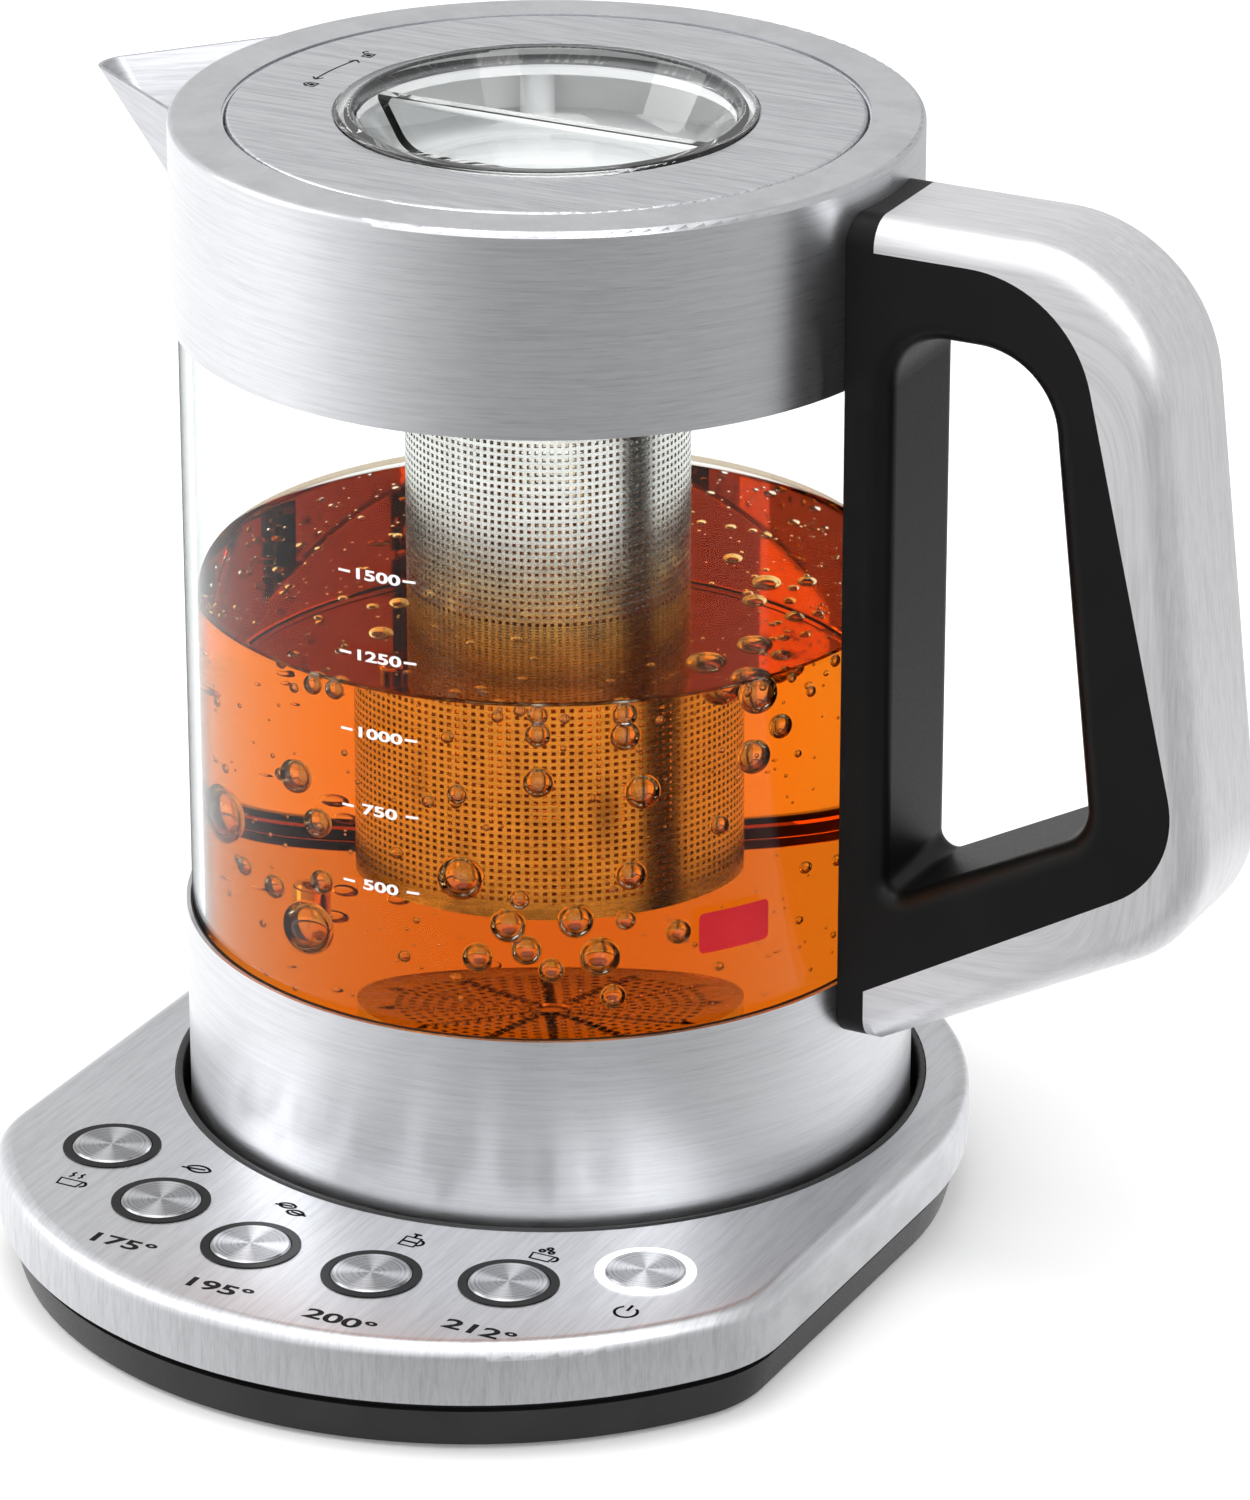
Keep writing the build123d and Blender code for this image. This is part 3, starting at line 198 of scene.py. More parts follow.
def spun_steel(name, centre):
    """Stainless steel turned on a lathe: rings round the button's centre, whose bright cross highlight is
    partly painted into the base colour as lighter wedges by angle. Real rings are 0.1 mm apart, drawn 0.45
    mm apart to show."""
    material, tree, shader, _ = new_material(name, Metallic=1.0, Anisotropic=0.75,
                                              Anisotropic_Rotation=0.25)
    place = add_node(tree, "TexCoord").outputs["Object"]
    flat = add_node(tree, "VectorMath", {0: place, 1: centre}, operation="SUBTRACT").outputs[0]
    radius = add_node(tree, "VectorMath", {0: flat}, operation="LENGTH").outputs["Value"]
    rings = add_node(tree, "TexNoise", {"W": radius, "Scale": 1 / (0.45 * MM), "Detail": 3.0},
                     noise_dimensions="1D").outputs[0]
    parts = add_node(tree, "SeparateXYZ", {0: flat}).outputs
    # painted highlight: lighter and darker wedges by angle round the centre draw the cross that lamps give
    # on the rings
    turn = add_node(tree, "Math", {0: parts["Y"], 1: parts["X"]}, operation="ARCTAN2").outputs[0]
    waves = add_node(tree, "Math", {0: turn, 1: 4.0}, operation="MULTIPLY").outputs[0]
    turned = add_node(tree, "Math", {0: waves, 1: 0.7}, operation="ADD").outputs[0]
    cross = add_node(tree, "Math", {0: turned}, operation="SINE").outputs[0]
    ring_tone = spread(tree, rings, 0.0, 0.35, 0.35, 0.65)
    painted_cross_highlight = spread(tree, cross, 0.0, 0.65, -0.2, 1.0)
    # shade: the rings' own tone plus the painted cross highlight
    shade = add_node(tree, "Math", {0: ring_tone, 1: painted_cross_highlight}, operation="ADD").outputs[0]
    tree.links.new(mixed(tree, shade, colour("#8b8c8f"), colour("#e3e4e7")), shader.inputs["Base Color"])
    tree.links.new(spread(tree, rings, 0.24, 0.34), shader.inputs["Roughness"])
    bump = add_node(tree, "Bump", {"Height": rings, "Strength": 0.2, "Distance": 0.02 * MM})
    tree.links.new(bump.outputs[0], shader.inputs["Normal"])
    tangent = add_node(tree, "Tangent", direction_type="RADIAL", axis="Z")
    tree.links.new(tangent.outputs[0], shader.inputs["Tangent"])
    return material


def moulded(name, base, lighter, roughness, grain=0.5 * MM, depth=0.15, **sockets):
    """A moulded part: a fine spark-eroded texture, drawn at grain metres, and slightly uneven gloss."""
    material, tree, shader, _ = new_material(name, **sockets)
    speck = stroke_noise(tree, [grain] * 3, detail=3.0)
    cloud = stroke_noise(tree, [18 * MM] * 3, detail=2.0)
    tint = mixed(tree, spread(tree, cloud, 0.0, 1.0), colour(base), colour(lighter))
    tree.links.new(tint, shader.inputs["Base Color"])
    tree.links.new(spread(tree, speck, roughness - 0.05, roughness + 0.07), shader.inputs["Roughness"])
    bump = add_node(tree, "Bump", {"Height": speck, "Strength": depth, "Distance": 0.05 * MM})
    tree.links.new(bump.outputs[0], shader.inputs["Normal"])
    return material


def clear_solid(name, ior, tint="#ffffff", rim="#ffffff", rim_shade_start=0.8, smudge=0.0, gloss=1.0):
    """A clear solid: it bends what stands behind it, and its rim takes the rim colour by the view angle, a
    painted shade. Its outer faces mirror the room by gloss, as behind a polarising filter, and lamps shine
    through it in a straight line."""
    material, tree, shader, output = new_material(
        name, IOR=ior, Transmission_Weight=1.0, Specular_Tint=(gloss, gloss, gloss, 1.0))
    wave = stroke_noise(tree, [25 * MM] * 3, detail=1.0)
    haze = spread(tree, wave, 0.0, smudge)
    tree.links.new(haze, shader.inputs["Roughness"])
    # painted shade: the base colour turns to the rim colour where the surface is seen edge-on, darkening the
    # rim
    facing = add_node(tree, "LayerWeight").outputs["Facing"]
    body = mixed(tree, spread(tree, facing, 0.0, 1.0, rim_shade_start, 1.0), colour(tint), colour(rim))
    tree.links.new(body, shader.inputs["Base Color"])
    unmirrored = add_node(tree, "BsdfRefraction", {"Color": body, "Roughness": haze, "IOR": ior}).outputs[0]
    inside = add_node(tree, "NewGeometry").outputs["Backfacing"]
    share = spread(tree, inside, 1.0 - gloss, 0.0, 0.0, 1.0)
    faces = add_node(tree, "MixShader", {0: share, 1: shader.outputs[0], 2: unmirrored}).outputs[0]
    passing = add_node(tree, "BsdfTransparent", {"Color": colour("#ffffff")}).outputs[0]
    lamp_ray = add_node(tree, "LightPath").outputs["Is Shadow Ray"]
    both = add_node(tree, "MixShader", {0: lamp_ray, 1: faces, 2: passing})
    tree.links.new(both.outputs[0], output.inputs["Surface"])
    return material, tree, shader, output


def steel_finishes():
    """Brushed steel, one finish for each direction in which the sheet was brushed."""
    along_x = [7 * MM, 0.3 * MM, 3 * MM]
    along_y = [0.3 * MM, 7 * MM, 3 * MM]
    round_z = [7 * MM, 7 * MM, 0.2 * MM]
    return {
        "deck": brushed_steel("Stainless_brushed_front_to_back", along_y, (1, 0, 0), base="#dedfe2",
                              dark="#cdced1", roughness=0.4, anisotropy=0.3, depth=0.12),
        "lid": brushed_steel("Stainless_brushed_side_to_side", along_x, (0, 1, 0), anisotropy=0.6),
        "round": brushed_steel("Stainless_brushed_round", round_z, (0, 0, 1), base="#dcdde0", dark="#cfd0d3",
                               anisotropy=0.6, depth=0.12),
        "spout": brushed_steel("Stainless_brushed_spout", round_z, base="#cbccd0", dark="#b5b6ba",
                               roughness=0.36),
        # the handle's steel has a lighter base colour than the same steel elsewhere: painted light
        "handle": brushed_steel("Stainless_brushed_handle", [0.3 * MM, 0.3 * MM, 9 * MM], base="#f4f4f6",
                                dark="#e6e6e9", roughness=0.42, depth=0.1, warp=along_handle),
        "polished": brushed_steel("Stainless_polished", [9 * MM, 9 * MM, 9 * MM], base="#d9dadc",
                                  dark="#cfd0d3", roughness=0.1, depth=0.05),
        "screw": brushed_steel("Steel_zinc_plated", [2 * MM, 2 * MM, 2 * MM], base="#c6c7cb",
                               dark="#a3a4a9", roughness=0.32),
    }


def pad_ink(name):
    """Black pad-printing ink: a thin, dull film."""
    return moulded(name, "#0c0c0d", "#121213", 0.5, depth=0.05, Specular_IOR_Level=0.1)


def seen_directly(tree, rays):
    """1 for what the camera sees, also through glass and tea; 0 for what metal mirrors."""
    return add_node(tree, "Math", {0: rays["Is Camera Ray"], 1: rays["Is Transmission Ray"]},
                    operation="MAXIMUM").outputs[0]


def assign(material, *names):
    """Gives CAD nodes a finish; their meshes stay as they are."""
    for name in names:
        for place in NODES[name].material_slots:
            place.material = material


def make_piece(name, bm, materials, body, replaces=(), crease=35.0):
    """A finished piece: a smooth mesh at the origin that rides on a body."""
    mesh = bpy.data.meshes.new(name)
    bm.to_mesh(mesh)
    bm.free()
    for polygon in mesh.polygons:
        polygon.use_smooth = True
    mesh.set_sharp_from_angle(angle=math.radians(crease))
    for material in materials:
        mesh.materials.append(material)
    piece = bpy.data.objects.new(name, mesh)
    bpy.context.scene.collection.objects.link(piece)
    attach(piece, body)
    if replaces:
        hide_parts(*replaces)
    return piece


def supported(outline, closed, margin=0.5 * MM):
    """The outline with a point near both ends of each long run, so that walls shade straight."""
    points = []
    ends = outline[1:] + (outline[:1] if closed else [])
    for (r0, z0), (r1, z1) in zip(outline, ends):
        points.append((r0, z0))
        length = math.hypot(r1 - r0, z1 - z0)
        if length > 4 * margin:
            for part in (margin / length, 1 - margin / length):
                points.append((r0 + (r1 - r0) * part, z0 + (z1 - z0) * part))
    return points if closed else points + [outline[-1]]


def lathe(outline, closed, steps=256):
    """A bmesh turned round the Z axis from (radius, height) points; an open outline ends on the axis."""
    bm = bmesh.new()
    points = [bm.verts.new((radius, 0.0, height)) for radius, height in supported(outline, closed)]
    pairs = list(zip(points, points[1:])) + ([(points[-1], points[0])] if closed else [])
    edges = [bm.edges.new(pair) for pair in pairs]
    bmesh.ops.spin(bm, geom=points + edges, cent=(0, 0, 0), axis=(0, 0, 1), angle=TURN, steps=steps,
                   use_merge=True)
    bmesh.ops.remove_doubles(bm, verts=bm.verts, dist=1e-6)
    bmesh.ops.recalc_face_normals(bm, faces=bm.faces)
    return bm


def drawn_line(points, width, closed=False):
    """A mesh of one printed line: a round curve pressed flat, lying on z = 0."""
    curve = bpy.data.curves.new("line", "CURVE")
    curve.dimensions = "3D"
    curve.bevel_depth = width / 2
    curve.bevel_resolution = 2
    curve.use_fill_caps = True
    spline = curve.splines.new("POLY")
    spline.points.add(len(points) - 1)
    for place, (x, y) in zip(spline.points, points):
        place.co = (x, y, 0.0, 1.0)
    spline.use_cyclic_u = closed
    carrier = bpy.data.objects.new("line", curve)
    bpy.context.scene.collection.objects.link(carrier)
    bpy.context.view_layer.update()
    evaluated = carrier.evaluated_get(bpy.context.evaluated_depsgraph_get())
    mesh = bpy.data.meshes.new_from_object(evaluated)
    bpy.data.objects.remove(carrier)
    mesh.transform(Matrix.Diagonal((1.0, 1.0, 0.02 * MM / width, 1.0)))
    return mesh


def printed_number(text, height, widen=1.25):
    """A mesh of a number, centred on the origin, of that cap height."""
    curve = bpy.data.curves.new("number", "FONT")
    curve.body = text
    curve.size = height / CAP_SHARE
    curve.align_x = "CENTER"
    curve.align_y = "CENTER"
    curve.resolution_u = 4
    curve.offset = 0.04 * height
    carrier = bpy.data.objects.new("number", curve)
    bpy.context.scene.collection.objects.link(carrier)
    bpy.context.view_layer.update()
    evaluated = carrier.evaluated_get(bpy.context.evaluated_depsgraph_get())
    mesh = bpy.data.meshes.new_from_object(evaluated)
    bpy.data.objects.remove(carrier)
    mesh.transform(Matrix.Diagonal((widen, 1.0, 1.0, 1.0)))
    return mesh


def arc(centre, radius, start, end, count=14):
    """Points of an arc, with its ends in degrees."""
    angles = [math.radians(start + (end - start) * i / (count - 1)) for i in range(count)]
    return [(centre[0] + radius * math.cos(a), centre[1] + radius * math.sin(a)) for a in angles]


def gather(meshes):
    """One bmesh of several (mesh, matrix) pairs."""
    bm = bmesh.new()
    for mesh, place in meshes:
        mesh.transform(place)
        bm.from_mesh(mesh)
        bpy.data.meshes.remove(mesh)
    return bm


def round_the_glass(bm, azimuth, height, radius):
    """Wraps a flat print (x to the right, y up) on a cylinder; azimuth 0 is the jug's front."""
    for vert in bm.verts:
        angle = azimuth + vert.co.x / radius
        out = radius + vert.co.z
        vert.co = (out * math.sin(angle), -out * math.cos(angle), height + vert.co.y)


class TeaMakerSizes(bpy.types.PropertyGroup):
    """Sizes that a user would change."""

    tea_level: FloatProperty(
        name="Tea level", description="Height of the tea's surface above the table",
        default=131 * MM, unit="LENGTH", subtype="DISTANCE")
    hole_pitch: FloatProperty(
        name="Hole pitch", description="Distance between the infuser's holes, centre to centre",
        default=1.48 * MM, unit="LENGTH", subtype="DISTANCE")
    hole_width: FloatProperty(
        name="Hole width", description="Side of one square hole of the infuser",
        default=0.76 * MM, unit="LENGTH", subtype="DISTANCE")
    small_bubbles: IntProperty(
        name="Small bubbles", description="How many small bubbles rise in the tea", default=420, min=0)
    print_height: FloatProperty(
        name="Number height", description="Cap height of the numbers on the base",
        default=3.6 * MM, unit="LENGTH", subtype="DISTANCE")
    scale_height: FloatProperty(
        name="Scale number height", description="Cap height of the numbers on the glass",
        default=2.05 * MM, unit="LENGTH", subtype="DISTANCE")


class TeaMakerColours(bpy.types.PropertyGroup):
    """Colours that a user would change."""

    tea: FloatVectorProperty(
        name="Tea", description="Colour that a thickness of tea lets through",
        default=colour("#fad32a")[:3], size=3, subtype="COLOR", min=0.0, max=1.0)
    lit_ring: FloatVectorProperty(
        name="Lit ring", description="Light of the ring round the start button",
        default=colour("#ffffff")[:3], size=3, subtype="COLOR", min=0.0, max=1.0)
    scale_print: FloatVectorProperty(
        name="Scale print", description="Ink of the volume scale on the glass",
        default=colour("#f6f7f8")[:3], size=3, subtype="COLOR", min=0.0, max=1.0)


class TEAMAKER_OT_stage(bpy.types.Operator):
    """Floor, background, lamps and camera"""

    bl_idname = "teamaker.stage"
    bl_label = "Stage"

    def execute(self, context):
        self.make_world(context.scene)
        self.make_floor(context.scene)
        for name, place, size, power in (
            ("Softbox_left", (-1.7, -0.7, 1.1), 1.2, 12.0),
            ("Softbox_right", (1.6, -0.9, 1.3), 0.9, 6.0),
            ("Softbox_above", (0.1, -0.2, 2.0), 1.1, 10.0),
        ):
            lamp = bpy.data.lights.new(name, "AREA")
            lamp.size = size
            lamp.energy = power
            holder = bpy.data.objects.new(name, lamp)
            holder.location = place
            holder.rotation_euler = (Vector(place) - Vector(LAMP_AIM)).to_track_quat("Z", "Y").to_euler()
            context.scene.collection.objects.link(holder)
        camera = bpy.data.cameras.new("Camera")
        camera.sensor_width = 36.0
        camera.lens = CAMERA_LENS
        holder = bpy.data.objects.new("Camera", camera)
        holder.location = CAMERA_PLACE
        holder.rotation_euler = (holder.location - Vector(CAMERA_AIM)).to_track_quat("Z", "Y").to_euler()
        context.scene.collection.objects.link(holder)
        context.scene.camera = holder
        context.scene.view_settings.view_transform = "Standard"
        return {"FINISHED"}

    def make_world(self, scene):
        """White behind the object; metal sees a softer room, brighter on its left."""
        scene.world = bpy.data.worlds.new("Studio")
        scene.world.use_nodes = True
        tree = scene.world.node_tree
        tree.nodes.clear()
        direction = add_node(tree, "TexCoord").outputs["Generated"]
        left = add_node(tree, "VectorMath", {0: direction, 1: ROOM_LEFT},
                        operation="DOT_PRODUCT").outputs["Value"]
        ceiling = add_node(tree, "VectorMath", {0: direction, 1: ROOM_CEILING},
                           operation="DOT_PRODUCT").outputs["Value"]
        walls = spread(tree, left, 0.62, 1.0, -0.2, 0.8)
        overhead = spread(tree, ceiling, 0.0, 0.75, 0.62, 0.9)
        room = add_node(tree, "Math", {0: walls, 1: overhead}, operation="ADD").outputs[0]
        seen = seen_directly(tree, add_node(tree, "LightPath").outputs)
        level = add_node(tree, "Mix", {0: seen, 2: room, 3: 1.0}, data_type="FLOAT").outputs[0]
        light = add_node(tree, "Background", {"Color": (1, 1, 1, 1), "Strength": level}).outputs[0]
        add_node(tree, "OutputWorld", {"Surface": light})

    def make_floor(self, scene):
        """A pale floor that keeps the shadow; metal sees it greyer in front, as under a dark camera."""
        bm = bmesh.new()
        bmesh.ops.create_grid(bm, x_segments=1, y_segments=1, size=8.0)
        bmesh.ops.translate(bm, verts=bm.verts, vec=(0, 0, CAD_BOX[0].z - 0.05 * MM))
        mesh = bpy.data.meshes.new("Floor")
        bm.to_mesh(mesh)
        bm.free()
        floor = bpy.data.objects.new("Floor", mesh)
        scene.collection.objects.link(floor)
        material, tree, shader, output = new_material(
            "Paper_white_floor", Base_Color=colour("#f4f4f4"), Roughness=0.9)
        place = add_node(tree, "TexCoord").outputs["Object"]
        away = add_node(tree, "VectorMath", {0: place}, operation="NORMALIZE").outputs[0]
        front = add_node(tree, "VectorMath", {0: away, 1: FLOOR_FRONT},
                         operation="DOT_PRODUCT").outputs["Value"]
        left = add_node(tree, "VectorMath", {0: away, 1: ROOM_LEFT},
                        operation="DOT_PRODUCT").outputs["Value"]
        distance = add_node(tree, "VectorMath", {0: place}, operation="LENGTH").outputs["Value"]
        right_side = spread(tree, distance, 1.15, 0.66, 0.2, 0.5)
        front_side = spread(tree, distance, 0.6, 0.36, 0.13, 0.22)
        leftness = spread(tree, left, 0.0, 1.0, -0.3, 0.3)
        sides = add_node(tree, "Mix", {0: leftness, 2: right_side, 3: 1.3}, data_type="FLOAT").outputs[0]
        dark = spread(tree, front, 0.0, 1.0, 0.1, 0.95)
        seen_by_metal = add_node(tree, "Mix", {0: dark, 2: sides, 3: front_side},
                                 data_type="FLOAT").outputs[0]
        metal_view = add_node(tree, "Emission", {"Strength": seen_by_metal}).outputs[0]
        paper = add_node(tree, "Emission", {"Strength": 0.14}).outputs[0]
        shadowed = add_node(tree, "AddShader", {0: paper, 1: shader.outputs[0]}).outputs[0]
        rays = add_node(tree, "LightPath").outputs
        seen = seen_directly(tree, rays)
        plain = add_node(tree, "MixShader", {0: seen, 1: shader.outputs[0], 2: shadowed}).outputs[0]
        bounced = add_node(tree, "Math", {0: rays["Is Glossy Ray"], 1: seen}, operation="SUBTRACT",
                           use_clamp=True).outputs[0]
        final = add_node(tree, "MixShader", {0: bounced, 1: plain, 2: metal_view}).outputs[0]
        tree.links.new(final, output.inputs["Surface"])
        mesh.materials.append(material)


class TEAMAKER_OT_base(bpy.types.Operator):
    """Finishes of the power base: steel cover, tray, feet, trim and the parts inside"""

    bl_idname = "teamaker.base"
    bl_label = "Power base"

    def execute(self, context):
        steel = steel_finishes()
        assign(steel["deck"], "top_cover")
        assign(moulded("ABS_moulded_black", "#1c1c1d", "#252526", 0.42, Specular_IOR_Level=0.35),
               "base_tray", "base_frame", "recess_trim", "cord_gland", "base_connector", "jug_socket")
        assign(moulded("Rubber_moulded_feet", "#1b1b1c", "#232324", 0.75, Sheen_Weight=0.1), "rubber_feet")
        assign(steel["screw"], "base_screws", "board_screws", "bottom_screws", "handle_screws",
               "lid_screws", "plate_studs")
        brass = brushed_steel("Brass_turned_contacts", [3 * MM, 3 * MM, 0.3 * MM], base="#e3c27a",
                              dark="#c9a45c", roughness=0.24)
        assign(brass, "base_contacts", "socket_contacts")
        assign(self.board_finish(), "control_board")
        assign(moulded("Nylon_moulded_parts", "#262a33", "#30343d", 0.5), "button_switches",
               "power_relay", "control_housing", "thermal_cutouts")
        return {"FINISHED"}

    def board_finish(self):
        """Fibreglass board under green solder mask: glossy, with the weave just showing."""
        material, tree, shader, _ = new_material("Fibreglass_solder_mask", Coat_Weight=0.6)
        place = add_node(tree, "TexCoord").outputs["Object"]
        tracks = add_node(tree, "TexBrick", {"Vector": place, "Scale": 90.0, "Mortar Size": 0.03,
                                             "Color1": colour("#14502c"), "Color2": colour("#175833"),
                                             "Mortar": colour("#2c7a4a")}).outputs[0]
        tree.links.new(tracks, shader.inputs["Base Color"])
        weave = stroke_noise(tree, [0.6 * MM] * 3)
        tree.links.new(spread(tree, weave, 0.25, 0.4), shader.inputs["Roughness"])
        return material


class TEAMAKER_OT_buttons(bpy.types.Operator):
    """Finishes of the six button caps and their ring lenses"""

    bl_idname = "teamaker.buttons"
    bl_label = "Buttons"

    def execute(self, context):
        lens = moulded("Polycarbonate_smoked_lens", "#0a0a0b", "#101011", 0.16, depth=0.05, IOR=1.25)
        lit, tree, shader, _ = new_material("Polycarbonate_lit_lens", Roughness=0.2,
                                            Base_Color=colour("#f4f6f8"))
        glow = context.scene.tea_maker_colours.lit_ring
        shader.inputs["Emission Color"].default_value = (*glow, 1.0)
        cloud = stroke_noise(tree, [2 * MM] * 3)
        tree.links.new(spread(tree, cloud, 0.65, 0.8), shader.inputs["Emission Strength"])
        for number in range(1, 7):
            low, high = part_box(f"button_{number}")
            centre = (low + high) / 2
            centre.z = high.z
            assign(spun_steel(f"Stainless_spun_cap_{number}", centre), f"button_{number}")
            assign(lit if number == 6 else lens, f"light_ring_{number}")
        return {"FINISHED"}


class TEAMAKER_OT_base_marks(bpy.types.Operator):
    """Numbers and signs printed beside the buttons"""

    bl_idname = "teamaker.base_marks"
    bl_label = "Base marks"

    def execute(self, context):
        height = context.scene.tea_maker_sizes.print_height
        line = 0.62 * MM
        marks = []
        lift = DECK_TOP + PRINT_LIFT
        for text, x, y in (("175°", -36.1, -109.4), ("195°", -10.1, -117.2),
                           ("200°", 17.2, -118.2), ("212°", 42.6, -109.9)):
            place = Matrix.Translation((x * MM, y * MM, lift))
            marks.append((printed_number(text, height, 1.55), place))
        for strokes, x, y, scale in self.signs():
            for points, closed in strokes:
                place = Matrix.Translation((x * MM, y * MM, lift)) @ Matrix.Scale(MM * scale, 4)
                marks.append((drawn_line(points, line / MM / scale, closed), place))
        make_piece("base_marks", gather(marks), [pad_ink("Ink_pad_printed_black")], "base")
        return {"FINISHED"}

    def signs(self):
        """(lines, x, y, scale) of each sign, in millimetres: warm, leaf, leaves, press, boil, start."""
        cup = [([(-2.6, 1.0), (-2.2, -1.6), (2.2, -1.6), (2.6, 1.0)], True),
               (arc((2.6, -0.1), 1.1, 80, -80), False)]
        steam = [([(x - 0.3, 2.0), (x + 0.3, 2.8), (x - 0.2, 3.6), (x + 0.3, 4.3)], False)
                 for x in (-1.1, 0.9)]
        leaf = [(arc((0.0, -1.9), 3.2, 35, 145), False), (arc((0.0, 1.75), 3.2, -145, -35), False),
                ([(-3.6, -0.6), (1.4, 0.1)], False)]
        pair = [([(px * 0.8 - 1.6, py * 0.8 + 1.1) for px, py in points], closed)
                for points, closed in leaf]
        pair += [([(-px * 0.8 + 1.6, py * 0.8 - 1.2) for px, py in points], closed)
                 for points, closed in leaf]
        press = [([(-1.7, -2.2), (-1.7, 1.6), (1.7, 1.6), (1.7, -2.2)], True), ([(0, 1.6), (0, 3.1)], False),
                 ([(-0.9, 3.1), (0.9, 3.1)], False), ([(-1.7, -0.4), (1.7, -0.4)], False),
                 (arc((1.7, -0.2), 1.2, 80, -80), False)]
        bubbles = [(arc(centre, 0.55, 0, 330), True) for centre in ((-1.2, 2.5), (1.0, 2.5), (0.0, 3.9))]
        power = [(arc((0, 0), 2.1, 125, 415, 24), False), ([(0, 0.4), (0, 2.8)], False)]
        return ((cup + steam, -58.6, -91.2, 0.95), (leaf, -38.9, -74.8, 1.0), (pair, -14.0, -81.7, 0.9),
                (press, 13.2, -83.1, 0.95), (cup + bubbles, 38.8, -77.4, 0.9), (power, 63.6, -90.4, 1.05))


class TEAMAKER_OT_jug_steel(bpy.types.Operator):
    """Finishes of the jug's collars, spout, heater, neck and seals"""

    bl_idname = "teamaker.jug_steel"
    bl_label = "Jug steel and seals"

    def execute(self, context):
        steel = steel_finishes()
        assign(steel["round"], "lower_collar", "upper_collar")
        assign(steel["spout"], "spout")
        assign(steel["polished"], "heater_plate", "temperature_probe", "handle_strap")
        assign(moulded("Silicone_moulded_black", "#161617", "#1d1d1e", 0.5, Specular_IOR_Level=0.3),
               "lower_seal", "lid_seal")
        assign(moulded("Silicone_moulded_amber", "#8a3f1c", "#9a4a22", 0.45), "upper_seal")
        assign(moulded("Silicone_moulded_milky", "#dcdddf", "#e6e7e8", 0.4), "dial_gasket")
        assign(moulded("Polypropylene_moulded_grey", "#c3c5c9", "#cdcfd3", 0.35), "inner_neck")
        assign(moulded("ABS_moulded_dark", "#27272a", "#303033", 0.45), "jug_bottom_cover")
        cast = moulded("Aluminium_die_cast", "#b2b3b5", "#bfc0c2", 0.4, grain=1.2 * MM, depth=0.3,
                       Metallic=1.0)
        assign(cast, "heat_spreader")
        assign(brushed_steel("Aluminium_drawn_tube", [20 * MM, 20 * MM, 0.4 * MM], base="#b4b4b6",
                             dark="#939396"), "heating_element")
        return {"FINISHED"}


class TEAMAKER_OT_glass(bpy.types.Operator):
    """The jug's glass wall, turned smooth, with fire-polished edges"""

    bl_idname = "teamaker.glass"
    bl_label = "Jug glass"

    def execute(self, context):
        edge = 0.7 * MM
        outer, inner = GLASS_OUTER - edge, GLASS_INNER + edge
        high, low = GLASS_HIGH.z - edge, GLASS_LOW.z + edge
        outline = []
        corners = ((outer, high, 0), (inner, high, 90), (inner, low, 180), (outer, low, 270))
        for radius, height, start in corners:
            outline += arc((radius, height), edge, start, start + 90, 6)
        # rim #55595c: painted shade, a dark grey line along the glass's edges
        glass = clear_solid("Glass_borosilicate_blown", 1.47, tint="#fbfdfd", rim="#55595c", rim_shade_start=0.76,
                            smudge=0.01, gloss=0.12)[0]
        make_piece("jug_glass", lathe(outline, True), [glass], "jug", ["glass_body"])
        return {"FINISHED"}


class TEAMAKER_OT_volume_scale(bpy.types.Operator):
    """The volume scale printed on the front of the glass, and a plain red patch"""

    bl_idname = "teamaker.volume_scale"
    bl_label = "Volume scale"

    def execute(self, context):
        height = context.scene.tea_maker_sizes.scale_height
        ink, tree, shader, _ = new_material("Ink_screen_printed_white", Roughness=0.4)
        speck = stroke_noise(tree, [0.3 * MM] * 3)
        shade = mixed(tree, spread(tree, speck, 0.0, 1.0), colour("#e8e9ea"),
                      (*context.scene.tea_maker_colours.scale_print, 1.0))
        tree.links.new(shade, shader.inputs["Base Color"])
        marks = []
        for text, z in (("1500", 155.4), ("1250", 138.9), ("1000", 123.1), ("750", 107.3), ("500", 91.6)):
            marks.append((printed_number(text, height, 1.75), Matrix.Translation((0, z * MM, 0))))
            for side in (-1, 1):
                ends = [(side * 5.6 * MM, (z + 0.2) * MM), (side * 8.2 * MM, (z + 0.2) * MM)]
                marks.append((drawn_line(ends, 0.5 * MM), Matrix.Identity(4)))
        bm = gather(marks)
        bmesh.ops.subdivide_edges(bm, edges=[e for e in bm.edges if e.calc_length() > 1.5 * MM], cuts=2)
        round_the_glass(bm, math.radians(1.0), 0.0, GLASS_OUTER + 0.03 * MM)
        make_piece("volume_scale", bm, [ink], "jug")
        patch = moulded("Film_printed_red", "#b3131c", "#bf1a22", 0.35, Specular_IOR_Level=0.2)
        glue = moulded("Acrylic_adhesive_grey", "#2b2422", "#332b28", 0.5)
        make_piece("glass_patch", self.patch(), [patch, glue], "jug")
        return {"FINISHED"}

    def patch(self):
        """A thin film with round corners, on the right of the glass."""
        bm = bmesh.new()
        bmesh.ops.create_grid(bm, x_segments=12, y_segments=6, size=0.5)
        bmesh.ops.scale(bm, verts=bm.verts, vec=(15.5 * MM, 8.4 * MM, 1.0))
        corners = [v for v in bm.verts if len(v.link_edges) == 2]
        bmesh.ops.bevel(bm, geom=corners, affect="VERTICES", offset=1.1 * MM, segments=4, profile=0.5,
                        material=-1)
        bmesh.ops.solidify(bm, geom=bm.faces, thickness=-0.06 * MM)
        round_the_glass(bm, math.radians(57.4), 82.4 * MM, GLASS_OUTER + 0.02 * MM)
        bmesh.ops.recalc_face_normals(bm, faces=bm.faces)
        for face in bm.faces:
            if face.normal.dot(face.calc_center_median()) < 0:
                face.material_index = 1
        return bm


